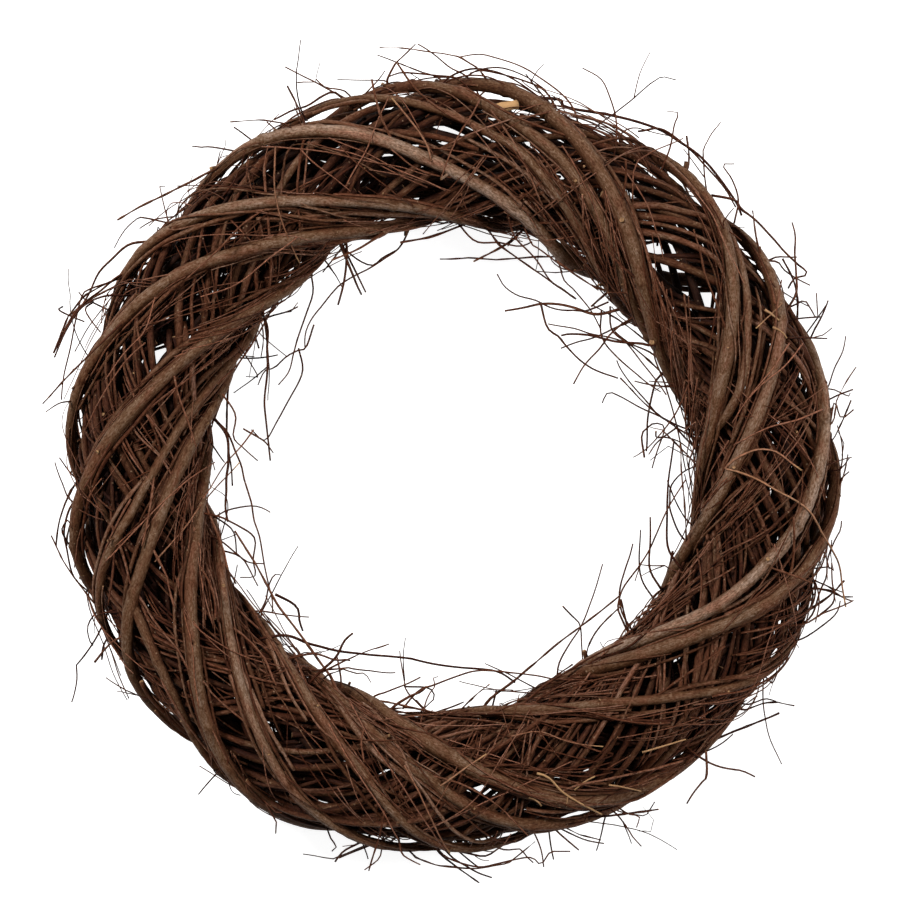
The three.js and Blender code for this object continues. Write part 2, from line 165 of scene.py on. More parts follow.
weavers = {
    "name": "weaver_rod", "turns": 3, "top": weaverTop, "thick": thickestWeaver, "thin": 1.9,
    "stepsPerTurn": 11, "span": (285, 345), "seed": 3, "shoots": [("lying", 80, 12)], "slot": "weaver_bark",
    "places": [0, 17, 34, 66, 83, 117, 134, 151, 188, 205, 239, 256, 273, 305, 322],
}
inners = {
    "name": "inner_rod", "turns": -2, "top": innerTop, "thick": thickestInner, "thin": 2.3,
    "stepsPerTurn": 12, "span": (290, 340), "seed": 13, "shoots": [], "slot": "inner_bark",
    "places": [10, 62, 108, 165, 214, 260, 318],
}
cores = {
    "name": "core_rod", "turns": 1, "top": coreTop, "thick": 3.3, "thin": 2.7, "stepsPerTurn": 22,
    "span": (335, 345), "seed": 23, "shoots": [], "slot": "inner_bark", "places": [0, 90, 180, 270],
}
windingStray = [(1, 6), (2, 7, 40)]  # degrees that windings stray: how often in a round, how far, from where


# a repeatable stream of numbers from 0 to 1, as the part's source has it
def draws(seed):
    factor, modulus = 16807, 2147483647
    seedFactor, seedStart = 7919, 101
    state = seed * seedFactor + seedStart

    def draw():
        nonlocal state
        state = (state * factor) % modulus
        return state / modulus

    return draw


def between(low, high, share):
    return low + (high - low) * share


def unit(vectors):
    return vectors / np.linalg.norm(vectors, axis=-1, keepdims=True)


def eitherSide(draw):
    return -1 if draw() < 0.5 else 1


# how far the ring strays from round, by its bearing in radians
def lobesAt(way):
    return sum(s * np.cos(n * (way - math.radians(b))) for n, s, b in ringLook["lobes"])


# points by bearing round the ring, angle round its section (0 at the outer edge, 90 on the front) and depth
def ringPoints(bearings, angles, depths):
    turn, way = np.radians(angles), np.radians(bearings)
    across, up = halfDepth * np.cos(turn), halfWidth * np.sin(turn)
    size = np.hypot(across, up)
    radius = ringRadius + lobesAt(way) + halfWidth * np.cos(turn) - depths * across / size
    height = centreHeight + halfDepth * np.sin(turn) - depths * up / size
    return np.stack([radius * np.cos(way), radius * np.sin(way), height], -1)


def wreathPoint(bearing, angle, depth):
    return Vector(ringPoints(bearing, angle, depth))


def skinNormal(bearing, angle):
    return wreathPoint(bearing, angle, 0) - wreathPoint(bearing, angle, 1)


def smoothThrough(knots, x):
    i = 0
    while i < len(knots) - 2 and x > knots[i + 1][0]:
        i += 1

    def slope(k):
        a, b = knots[max(k - 1, 0)], knots[min(k + 1, len(knots) - 1)]
        return (b[1] - a[1]) / (b[0] - a[0])

    (x0, y0), (x1, y1) = knots[i], knots[i + 1]
    width = x1 - x0
    t = (x - x0) / width
    return (y0 * (1 + 2 * t) * (1 - t) ** 2 + slope(i) * width * t * (1 - t) ** 2
            + y1 * t * t * (3 - 2 * t) - slope(i + 1) * width * t * t * (1 - t))


def bindingRoute(first, count, index):
    def passOf(n):
        lap = 360 * (n // len(passes))
        inner, front, outer, girth, *by = passes[n % len(passes)]
        return inner + lap, front + lap, outer + lap, girth, [(b + lap, a) for b, a in by]

    run = [passOf(first + passStride * k) for k in range(count)]
    before = passOf(first - passStride + len(passes))[2] - 360
    after = passOf(first + passStride * count)[0]
    start = run[0][0] - endShare * (run[0][0] - before)
    end = run[-1][2] + endShare * (after - run[-1][2])
    knots = [(before, 360)]
    for k, (inner, front, outer, _, by) in enumerate(run):
        knots += [(inner, 180 - 360 * k), (front, 90 - 360 * k)]
        knots += [(b, a - 360 * k) for b, a in by] + [(outer, -360 * k)]
    knots.append((after, 180 - 360 * count))
    girth = [(start, run[0][3])] + [(p[1], p[3]) for p in run] + [(end, run[-1][3] * bindings["endGirth"])]
    return {
        "name": f"binding_rod_{index + 1}", "layer": bindings, "start": start, "end": end, "lift": 0,
        "steps": int((end - start) / bindings["stationStep"] + 0.5),
        "angle": lambda b: smoothThrough(knots, b), "radius": lambda b: smoothThrough(girth, b),
    }


def wobble(bearing, place):
    (once, far), (twice, farther, fromWhere) = windingStray
    return (far * math.sin(math.radians(once * bearing + place))
            + farther * math.sin(math.radians(twice * bearing + fromWhere)))


def layerRoutes(layer):
    draw = draws(layer["seed"])
    routes = []
    for index, place in enumerate(layer["places"]):
        span = between(*layer["span"], draw())
        start = 360 * draw()
        routes.append({
            "name": f"{layer['name']}_{index + 1:02d}", "layer": layer, "lift": 0,
            "start": start, "end": start + span,
            "steps": int(abs(layer["turns"]) * layer["stepsPerTurn"] * span / 360 + 0.5),
            "angle": lambda b, p=place, n=layer["turns"]: p + n * b + wobble(b, p),
            "radius": lambda b, a=start, s=span, la=layer: between(la["thick"], la["thin"], (b - a) / s),
        })
    return routes


def depthOf(rod, radius, angle):
    if rod["layer"] is not bindings:
        return rod["layer"]["top"] - rod["lift"] + radius
    frontShare = (1 + math.sin(math.radians(angle))) / 2
    return between(radius, 2 * thickestBinding - radius, frontShare)


def centreAt(rod, bearing, angle, radius):
    return wreathPoint(bearing, angle, depthOf(rod, radius, angle))


def stationsOf(rod):
    bearings = [between(rod["start"], rod["end"], k / rod["steps"]) for k in range(rod["steps"] + 1)]
    return [centreAt(rod, b, rod["angle"](b), rod["radius"](b)) for b in bearings]


def rodPoint(rod, bearing):
    place = (bearing - rod["start"]) / (rod["end"] - rod["start"]) * rod["steps"]
    k = min(max(math.floor(place), 0), rod["steps"] - 1)
    return rod["points"][k].lerp(rod["points"][k + 1], place - k)


def treeOf(spots):
    tree = KDTree(len(spots))
    for i, spot in enumerate(spots):
        tree.insert(spot, i)
    tree.balance()
    return tree


def cornersOf(mesh):
    corners = np.empty(len(mesh.vertices) * 3)
    mesh.vertices.foreach_get("co", corners)
    return corners.reshape(-1, 3)


seat = {"corners": 5, "reach": 2.5}  # how many of a node's corners are round a station, and how far off


# a rod lies in the frame where its node has it, so its lift is read off the node's own stations
def seatRod(rod):
    corners = (cornersOf(frame["nodes"][rod["name"]].data) * 1000).round(3)
    rod["tree"] = treeOf(np.unique(corners, axis=0))  # the frame's faces don't share corners
    rod["points"] = stationsOf(rod)
    if rod["layer"] is bindings:
        return rod
    lifts = []
    for k in range(1, rod["steps"]):
        bearing = between(rod["start"], rod["end"], k / rod["steps"])
        angle, reach = rod["angle"](bearing), rod["radius"](bearing) + seat["reach"]
        centre = rod["points"][k]
        near = [co for co, _, d in rod["tree"].find_n(centre, seat["corners"]) if d < reach]
        if len(near) == seat["corners"]:
            middle = sum(near, Vector()) / len(near)
            lifts.append((middle - centre).dot(skinNormal(bearing, angle)))
    rod["lift"] = float(np.median(lifts))
    rod["points"] = stationsOf(rod)
    return rod


rods = [bindingRoute(first, count, i) for i, (first, count) in enumerate(bindings["runs"])]
rods += layerRoutes(weavers) + layerRoutes(inners) + layerRoutes(cores)
rods = [seatRod(rod) for rod in rods]
print("rods laid, lifts", " ".join(f"{rod['lift']:.2f}" for rod in rods if rod["lift"]))

# The side shoots that the frame has, as in the part's source, in mm and degrees. The last two values of each
# are for its mesh here: mm between rings, and how much of the year's red its bark has.
shootLook = {
    "limb": {"steps": 14, "step": 2.4, "young": 0.1},
    "follower": {
        "aside": (11, 15), "span": (20, 44), "stride": 7, "leanSteps": 1.5, "thick": (1.3, 2.4),
        "taper": 0.55, "step": 3, "young": 0.35,
    },
    "lying": {
        "aside": (9, 20), "span": (14, 26), "steps": 4, "driftBy": 1.6, "sunk": (0.9, 0.6),
        "thick": (0.8, 1.2), "taper": 0.7, "step": 4, "young": 0.5,
    },
    "stray": {
        "length": (34, 92), "moreShort": 1.4, "swing": (14, 60), "lift": (14, 34), "turnBack": (-50, 26),
        "drop": (-30, 6), "steps": 3, "thick": (0.58, 0.95), "taper": 0.78, "step": 3.5, "young": 0.8,
    },
}
longTaper = 0.7  # of the long shoots
tipReach = (1.25, 0.1)  # how near the node a shoot's tip is: share of its girth, mm


def limbPath(limb, rod):
    knots, steps = limb["knots"], shootLook["limb"]["steps"]
    start, end = knots[0][0], knots[-1][0]
    points, girths = [rodPoint(rod, start)], [limb["thick"]]
    for k in range(1, steps + 1):
        bearing = between(start, end, k / steps)
        girths.append(between(limb["thick"], limb["thin"], k / steps))
        points.append(centreAt(rod, bearing, smoothThrough(knots, bearing), girths[-1]))
    return points, girths


# how many degrees to a side of its rod a shoot goes, for how many along it, and its girth
def besides(draw, look):
    aside = eitherSide(draw) * between(*look["aside"], draw())
    return aside, between(*look["span"], draw()), between(*look["thick"], draw())


def followerPath(rod, bearing, draw, look):
    beside, span, thick = besides(draw, look)
    steps = int(span / look["stride"] + 0.5)
    points, girths = [rodPoint(rod, bearing)], [thick]
    for k in range(1, steps + 1):
        t = k / steps
        b = bearing + span * t
        lean = min(1, k / look["leanSteps"])
        girths.append(thick * between(1, look["taper"], t))
        radius = between(rod["radius"](b), girths[-1], lean)
        points.append(centreAt(rod, b, rod["angle"](b) + beside * lean, radius))
    return points, girths


def lyingPath(rod, bearing, draw, look):
    drift, span, thick = besides(draw, look)
    steps = look["steps"]
    points, girths = [rodPoint(rod, bearing)], [thick]
    for k in range(1, steps + 1):
        t = k / steps
        b = bearing + span * t
        depth = rod["layer"]["top"] + rod["radius"](bearing) * between(*look["sunk"], t)
        points.append(wreathPoint(b, rod["angle"](b) + drift * min(1, look["driftBy"] * t), depth))
        girths.append(thick * between(1, look["taper"], t))
    return points, girths


def strayPath(rod, bearing, draw, look):
    start = rodPoint(rod, bearing)
    along = (rodPoint(rod, bearing + 1) - rodPoint(rod, bearing - 1)).normalized()
    outward = skinNormal(bearing, rod["angle"](bearing))
    side = outward.cross(along).normalized()
    length = between(*look["length"], draw() ** look["moreShort"])
    swing = eitherSide(draw) * between(*look["swing"], draw())
    lift, turnBack, drop, thick = (between(*look[key], draw())
                                   for key in ("lift", "turnBack", "drop", "thick"))

    def heading(turn, rise):
        t, r = math.radians(turn), math.radians(rise)
        return along * math.cos(t) * math.cos(r) + side * math.sin(t) * math.cos(r) + outward * math.sin(r)

    middle = start + heading(swing, lift) * length / 2
    end = middle + heading(swing + math.copysign(turnBack, swing * turnBack), lift + drop) * length / 2
    points, girths = [], []
    for k in range(look["steps"] + 1):
        t = k / look["steps"]
        points.append(start * (1 - t) ** 2 + middle * 2 * t * (1 - t) + end * t * t)
        girths.append(thick * between(1, look["taper"], t))
    return points, girths


shootPaths = {"follower": followerPath, "lying": lyingPath, "stray": strayPath}


seedsPerRod = 1000


# the shoots that a node has: those of the offered ones whose tip is there
def shootsOf(rod, index):
    kept = []
    for kind, every, offset in rod["layer"]["shoots"]:
        b = rod["start"] + offset
        while b < rod["end"] - offset:
            draw = draws(seedsPerRod * (index + 1) + math.floor(b))
            points, girths = shootPaths[kind](rod, b, draw, shootLook[kind])
            if rod["tree"].find(points[-1])[2] < girths[-1] * tipReach[0] + tipReach[1]:
                kept.append((kind, points, girths))
            b += every
    return kept


for index, rod in enumerate(rods):
    rod["shoots"] = shootsOf(rod, index)
print("shoots found", sum(len(rod["shoots"]) for rod in rods))

# A strand is one rod, shoot or twig: its points, its girth at each, how far along each is, and its looks.
# A girth is a radius, here and wherever it is named.
strandLook = {
    "firstBud": (5, 30),  # mm from the root
    "lastBud": 8,  # mm from the tip
    "budEvery": (24, 46),  # mm between the buds of a rod
    "budGirth": (0.6, 8),  # they lie closer on a thin shoot: share, and mm of girth for one share more
    "budSwell": 0.3,  # of the rod's girth, on the bud's side
    "budWidth": (0.35, 0.6),  # share of the girth, mm
    "kink": 0.57,  # mm that a rod strays at a bud
    "kinkFade": 20,  # mm from its ends
    "bendsEvenly": 1.5,  # mm of girth from which a rod has no sharp kinks
    "uneven": 0.05,  # how much its girth varies
    "unevenEvery": 12,  # mm
    "unevenPoints": 1.5,  # points from one swelling to the next, at least
    "stretches": 3,  # of a line, at least
    "finer": 8,  # points that a stretch is rounded with
}


def curveAt(a, b, c, d, t):
    return 0.5 * (2 * b + (c - a) * t + (2 * a - 5 * b + 4 * c - d) * t**2 + (3 * b - a - 3 * c + d) * t**3)


def smoothNoise(rng, count, step):
    knots = rng.uniform(-1, 1, int(count / step) + 4)
    x = np.arange(count) / step
    i = x.astype(int)
    return curveAt(knots[i], knots[i + 1], knots[i + 2], knots[np.minimum(i + 3, len(knots) - 1)], x - i)


def eased(line):
    line[1:-1] = line[1:-1] * 0.5 + (line[:-2] + line[2:]) * 0.25
    return line


def resample(points, radii, step):
    p = np.asarray(points, float)
    run = np.concatenate([[0], np.cumsum(np.linalg.norm(np.diff(p, axis=0), axis=1))])
    at = np.linspace(0, run[-1], max(int(run[-1] / step), strandLook["stretches"]) + 1)
    return np.stack([np.interp(at, run, p[:, k]) for k in range(3)], 1), np.interp(at, run, radii), at


# a smooth line through a few points
def rounded(points, radii, step):
    p = np.asarray([tuple(q) for q in points], float)
    p = np.vstack([2 * p[0] - p[1], p, 2 * p[-1] - p[-2]])
    r = np.array([radii[0], *radii, radii[-1]])
    finer, girths = [], []
    for k in range(1, len(p) - 2):
        for t in np.linspace(0, 1, strandLook["finer"], endpoint=k == len(p) - 3):
            finer.append(curveAt(*p[k - 1:k + 3], t))
            girths.append((1 - t) * r[k] + t * r[k + 1])
    return resample(finer, girths, step)


# gives a bare line its buds, kinks and uneven girth
def strandOf(points, radii, run, rng, young=0.0, pale=0.0, tipPale=0.0):
    thick = radii.mean()
    closer = strandLook["budGirth"][0] + thick / strandLook["budGirth"][1]
    buds, at = [], rng.uniform(*strandLook["firstBud"])
    while at < run[-1] - strandLook["lastBud"]:
        buds.append((at, rng.uniform(0, 2 * math.pi)))
        at += rng.uniform(*strandLook["budEvery"]) * closer
    # it turns a little at each bud and runs straight between them, as willow does
    turns = [0, *(bud[0] for bud in buds), run[-1]]
    kinks = [rng.normal(0, strandLook["kink"], len(turns)) for _ in range(3)]
    drift = np.stack([np.interp(run, turns, kink) for kink in kinks], 1)
    if thick > strandLook["bendsEvenly"]:
        drift = eased(drift)
    fade = np.clip(np.minimum(run, run[-1] - run) / strandLook["kinkFade"], 0, 1)[:, None]
    points = points + drift * fade
    stride = max(strandLook["unevenEvery"] / (run[1] - run[0]), strandLook["unevenPoints"])
    wave = smoothNoise(rng, len(run), stride)
    return {"points": points, "radii": radii * (1 + strandLook["uneven"] * wave), "run": run, "buds": buds,
            "tone": rng.uniform(), "young": young, "pale": pale, "tipPale": tipPale}


roundShare = 0.94  # a round rod with the section of the node's facets is this much thinner
routeStep = 0.7  # degrees between the points that a rod's line is drawn through
routeFewest = 60  # points
rodRing = {"binding_rod": 2.4, "weaver_rod": 3.5, "inner_rod": 4.5, "core_rod": 6}  # mm between rings
spurLook = {  # short stubs where side shoots broke off, each on the outer side of its rod
    "first": (20, 80),
    "every": (50, 170),
    "endFree": 20,
    "length": (0.8, 5.5),
    "thick": (0.2, 0.36),  # of the rod's girth
    "taper": (1.5, 1.3, 1.05, 0.95, 0.9, 0.85),
    "lean": (30, 70),
    "round": 0.8,  # how far round the rod from its outer side
    "palest": 0.6,
}


def rodStrand(rod, rng):
    count = max(int((rod["end"] - rod["start"]) / routeStep), routeFewest)
    bearings = np.linspace(rod["start"], rod["end"], count)
    line = np.array([tuple(centreAt(rod, b, rod["angle"](b), rod["radius"](b))) for b in bearings])
    girths = [rod["radius"](b) * roundShare for b in bearings]
    return strandOf(*resample(line, girths, rodRing[rod["layer"]["name"]]), rng)


# which way is out, from the middle of the ring's section
def outwardAt(points):
    middle = points * [1, 1, 0]
    middle *= ringRadius / np.linalg.norm(middle, axis=-1, keepdims=True)
    return unit(points - middle - [0, 0, centreHeight])


def spursOf(strand, rng):
    made, at = [], rng.uniform(*spurLook["first"])
    points, run = strand["points"], strand["run"]
    shares = np.linspace(0, 1, len(spurLook["taper"]))
    while at < run[-1] - spurLook["endFree"]:
        k = int(np.searchsorted(run, at))
        along = unit(points[k + 1] - points[k - 1])
        out = outwardAt(points[k]) + rng.uniform(-spurLook["round"], spurLook["round"], 3)
        out = unit(out - along * out.dot(along))
        lean = math.radians(rng.uniform(*spurLook["lean"]))
        way = along * math.cos(lean) + out * math.sin(lean)
        thick = strand["radii"][k] * rng.uniform(*spurLook["thick"])
        length = strand["radii"][k] + rng.uniform(*spurLook["length"])
        line = points[k] + way * length * shares[:, None]
        spur = strandOf(line, thick * np.array(spurLook["taper"]), length * shares, rng)
        spur["tipPale"] = rng.choice([0.0, 0.0, spurLook["palest"]])
        spur["tone"] = strand["tone"]
        made.append(spur)
        at += rng.uniform(*spurLook["every"])
    return made


# every rod with its limbs and shoots, as in its node
firstRodSeed = 100
for index, rod in enumerate(rods):
    rng = np.random.default_rng(firstRodSeed + index)
    main = rodStrand(rod, rng)
    if rod["layer"] is bindings:
        main["tone"] = bindings["tones"][index]
    rod["strands"] = [main]
    for limb in limbs:
        if limb["rod"] == rod["name"]:
            line = rounded(*limbPath(limb, rod), shootLook["limb"]["step"])
            pale = 1.0 if limb.get("peeled") else 0.0
            rod["strands"].append(strandOf(*line, rng, shootLook["limb"]["young"], pale))
    for name, bearing, thick, way in longShoots:
        if name == rod["name"]:
            girths = [thick * between(1, longTaper, k / len(way)) for k in range(len(way) + 1)]
            line = resample([tuple(rodPoint(rod, bearing)), *way], girths, shootLook["stray"]["step"])
            rod["strands"].append(strandOf(*line, rng, shootLook["stray"]["young"]))
    for kind, points, girths in rod["shoots"]:
        line = rounded(points, girths, shootLook[kind]["step"])
        rod["strands"].append(strandOf(*line, rng, shootLook[kind]["young"]))
    if rod["layer"] in (bindings, weavers):
        rod["strands"] += spursOf(main, rng)
print("strands of the rods", sum(len(rod["strands"]) for rod in rods))

# the rods near any point, for twigs to be pushed clear of
clearsFrom = 1.2  # mm of girth
nearZero = 1e-6
thickStrands = [s for rod in rods for s in rod["strands"] if s["radii"].max() > clearsFrom]
rodGirths = np.concatenate([s["radii"] for s in thickStrands])
rodTree = treeOf(np.concatenate([s["points"] for s in thickStrands]))


# pushes a line off the rods it runs through, to their outer side where over is near 1
def clearOf(points, radii, over=0.0, rounds=2):
    reach = rodGirths.max() + radii.max()
    for _ in range(rounds):
        outward = outwardAt(points)
        push = np.zeros_like(points)
        for k, point in enumerate(points):
            worst = 0
            for spot, j, distance in rodTree.find_range(point, reach):
                short = rodGirths[j] + radii[k] - distance
                if short > worst:
                    worst = short
                    way = (point - np.array(spot)) / max(distance, nearZero) + outward[k] * over
                    push[k] = way / max(np.linalg.norm(way), nearZero) * short
        points = eased(points + push)
    return points


# the box that the rods and their shoots fill, and what a twig keeps from it, in girths and mm
boxLow, boxHigh = (np.array(corner) * 1000 for corner in cadBox)
clearance = {"table": (1.15, 0.05), "sides": (1.2, 0.1), "cut": 1.1}


def offTable(points, radii):
    points[:, 2] = np.maximum(points[:, 2], radii * clearance["table"][0] + clearance["table"][1])


def inBox(points, radii):
    margin = radii.max() * clearance["sides"][0] + clearance["sides"][1]
    return (points[:, :2] > boxLow[:2] + margin).all() and (points < boxHigh - margin).all()


# the part of a strand, from its root, that stays in that box
def cutToBox(strand):
    margin = strand["radii"][:, None] * clearance["cut"]
    over = strand["points"] + margin > boxHigh
    under = (strand["points"] - margin < boxLow)[:, :2]
    out = over.any(axis=1) | under.any(axis=1)
    end = int(np.argmax(out)) if out.any() else len(out)
    for key in ("points", "radii", "run"):
        strand[key] = strand[key][:end]
    return strand


# openings that can be seen through in front view: place and size, kept free of twigs
openings = [
    (-77, 226, 8), (1, 217, 7), (35, 236, 6), (61, 213, 8), (152, 121, 9), (137, 127, 7), (163, 110, 8),
    (140, 141, 5), (-187, 71, 7), (-183, 30, 3), (-133, 170, 4), (-216, 127, 4), (-180, 129, 5),
    (-50, 231, 5), (48, -230, 4), (57, -226, 4),
]
# bare places in the skin: round the fork at the lower left, at the lower right and at the top
barePlaces = [
    (-196, -88, 13), (-205, -62, 10), (-193, -60, 9), (-203, -108, 10), (-184, -108, 9), (-215, -20, 9),
    (129, -143, 11), (155, -115, 12), (141, -128, 10), (118, -186, 11), (168, -84, 10), (92, -170, 9),
    (-22, 199, 10), (-95, 188, 9), (-40, 205, 9),
]
skinDepth = 5  # mm, what starts less deep than this keeps off the bare places
fewestSteps = 4  # of a twig


def inOpening(points, places=openings):
    return any((np.hypot(points[:, 0] - x, points[:, 1] - y) < size).any() for x, y, size in places)


# Twigs laid in the ring's skin. Each starts somewhere and walks on with a heading, in degrees from the
# ring's own direction towards its inner edge, which drifts as it goes. What a family doesn't say is as here.
twigLook = {
    "bearings": (0, 360), "angles": (0, 360),  # where they start
    "aside": 3, "stagger": 4, "fan": 5,  # how far the twigs of a bunch lie and turn apart
    "depthSpread": 2, "lengthShare": (0.6, 1),
    "curl": 0.12, "keepsTurn": 0.9, "newTurn": 0.4, "wander": 0.3,
    "narrowest": 8,  # mm, the section's radius deep inside, where it turns no faster
    "dive": 0, "diveLength": 28,  # mm that both ends go down, and over which length
    "liftOff": 0, "looseShare": 0.6, "liftPower": 2.5,  # mm that the tips of some stand off
    "over": 0.1, "taper": 0.6, "toneUpTo": 1, "step": 5, "sides": 4, "slot": "weaver_bark",
}


def walkTwigs(look, rng):
    starts = []
    while len(starts) < look["count"]:
        bearing, angle = rng.uniform(*look["bearings"]), rng.uniform(*look["angles"])
        heading = rng.choice(look["headings"]) + rng.normal(0, look["spread"])
        size = int(rng.integers(*look["bunch"]))
        turned = rng.choice([0, 180])
        depth, length = rng.uniform(*look["depth"]), rng.uniform(*look["length"])
        for _ in range(size):
            aside = rng.normal(0, look["aside"])
            start = (bearing + rng.normal(0, look["stagger"]), angle + aside)
            fanned = heading + rng.normal(0, look["fan"]) + turned
            under = min(max(depth + rng.normal(0, look["depthSpread"]), look["depth"][0]), look["depth"][1])
            starts.append((*start, fanned, under, length * rng.uniform(*look["lengthShare"]),
                           rng.uniform(*look["thick"])))
    b, a, h, d, length, thick = np.array(starts[: look["count"]]).T
    step, count = look["step"], int(look["length"][1] / look["step"]) + 1
    turn = rng.normal(0, look["curl"], len(b))
    path = []
    for k in range(count):
        path.append(ringPoints(b, a, d))
        radius = np.hypot(path[-1][:, 0], path[-1][:, 1])
        section = np.hypot(halfWidth * np.sin(np.radians(a)), halfDepth * np.cos(np.radians(a))) - d
        way = np.radians(h)
        b = b + np.degrees(np.cos(way) * step / radius)
        a = a + np.degrees(np.sin(way) * step / np.maximum(section, look["narrowest"]))
        turn = turn * look["keepsTurn"] + rng.normal(0, look["curl"] * look["newTurn"], len(b))
        h = h + turn * step
        d = d + rng.normal(0, look["wander"], len(b))
    path = np.stack(path, 1)
    made = []
    kept = openings + barePlaces if look["depth"][0] < skinDepth else openings
    for i in range(len(length)):
        n = max(int(length[i] / step), fewestSteps)
        girths = thick[i] * np.linspace(1, look["taper"], n)
        lift = np.zeros(n)
        if look["liftOff"]:
            free = rng.uniform(0, look["liftOff"]) * (rng.uniform() < look["looseShare"])
            lift = free * np.linspace(0, 1, n) ** look["liftPower"]
        ends = np.minimum(np.arange(n), np.arange(n)[::-1]) * step
        lift = lift - look["dive"] * np.clip(1 - ends / look["diveLength"], 0, 1) ** 2
        line = path[i, :n] + outwardAt(path[i, :n]) * lift[:, None]
        line = clearOf(line, girths, look["over"])
        offTable(line, girths)
        if inBox(line, girths) and not inOpening(line, kept):
            made.append(strandOf(*resample(line, girths, step), rng, rng.uniform(*look["young"])))
            made[-1]["tone"] *= look["toneUpTo"]
    return made


twigs = {
    "weaver_twigs": {  # lying with the weavers, in bunches
        "count": 230, "headings": (34, 30, 40, 18), "spread": 6, "bunch": (3, 7), "aside": 6,
        "depth": (8, 15), "length": (140, 340), "thick": (0.9, 2.5), "step": 6, "curl": 0.04, "wander": 0.25,
        "young": (0.05, 0.4), "sides": 8, "seed": 1, "stagger": 5, "fan": 4, "dive": 9,
    },
    "weaver_shoots": {  # thinner, in sheaves with them
        "count": 270, "headings": (34, 22, 42, 12), "spread": 10, "bunch": (4, 9), "depth": (5, 13),
        "length": (80, 240), "thick": (0.4, 1.1), "step": 6,
        "young": (0.2, 0.7), "sides": 6, "seed": 6, "fan": 7, "dive": 6, "toneUpTo": 1.3,
    },
    "binding_twigs": {  # lying along the binding rods, in and under the skin
        "count": 160, "headings": (-34, -30, -40), "spread": 5, "bunch": (3, 8), "aside": 3.5,
        "depth": (4, 10), "length": (90, 260), "thick": (0.45, 1.4), "step": 5.5, "curl": 0.05,
        "young": (0.2, 0.7), "sides": 6, "slot": "binding_bark", "seed": 2, "fan": 3, "dive": 5,
    },
    "inner_twigs": {  # the filling between the layers, its bark painted dark as shade
        "count": 330, "headings": (34, 34, -30, 10, -10), "spread": 10, "bunch": (3, 7), "aside": 8,
        "depth": (17, 31), "length": (90, 260), "thick": (1.0, 2.3), "step": 8, "curl": 0.05, "over": 0.0,
        "young": (0.2, 0.6), "sides": 6, "slot": "inner_bark", "seed": 3, "stagger": 5, "fan": 6,
    },
    "fine_sheaves": {  # many alike, lying along the binding rods towards the inner edge
        "count": 210, "headings": (-34, -26, -42), "spread": 5, "bunch": (6, 13), "aside": 3.5,
        "depth": (2, 9), "length": (60, 180), "thick": (0.32, 0.62), "wander": 0.35, "over": 0.05,
        "young": (0.3, 0.9), "liftOff": 4, "seed": 9, "angles": (95, 182), "toneUpTo": 2.0, "fan": 4,
        "dive": 3,
    },
    "under_twigs": {  # the filling towards the table, its bark painted dark as shade
        "count": 470, "headings": (34, -34, 10), "spread": 10, "bunch": (3, 7), "aside": 8, "depth": (11, 25),
        "length": (100, 260), "thick": (1.0, 2.3), "step": 8, "curl": 0.05, "over": 0.0,
        "young": (0.2, 0.6), "sides": 6, "slot": "inner_bark", "seed": 10, "angles": (205, 335), "stagger": 5,
        "fan": 6,
    },
    "mat_twigs": {  # the mat of thin shoots that hides the weavers at the lower right
        "count": 170, "headings": (-34, -30, -42, -26), "spread": 6, "bunch": (4, 9), "depth": (1.5, 8),
        "length": (60, 190), "thick": (0.4, 0.95), "over": 0.35, "young": (0.3, 0.9), "seed": 14,
        "bearings": (262, 345), "angles": (20, 150), "dive": 4,
    },
    "brush_twigs": {  # reddish bundles that lie over the rods towards the inner edge at the right
        "count": 150, "headings": (-34, -28, -40), "spread": 6, "bunch": (6, 12), "aside": 4,
        "depth": (0.5, 6), "length": (50, 150), "thick": (0.38, 0.75), "over": 0.7, "young": (0.4, 1.0),
        "liftOff": 5, "seed": 15, "bearings": (-65, 50), "angles": (92, 172), "toneUpTo": 1.5, "stagger": 5,
        "dive": 3,
    },
    "fine_shoots": {  # thin reddish sprays near the skin, some at every slant
        "count": 760, "headings": (-34, -34, 34, -20, -55, 60), "spread": 10, "bunch": (3, 9), "aside": 1.2,
        "depth": (1, 14), "length": (40, 150), "thick": (0.32, 0.5), "taper": 0.75, "curl": 0.35,
        "wander": 0.4, "over": 0.3, "young": (0.4, 1.0), "liftOff": 12, "seed": 4, "toneUpTo": 1.9,
        "stagger": 0.8, "fan": 9, "dive": 2,
    },
}

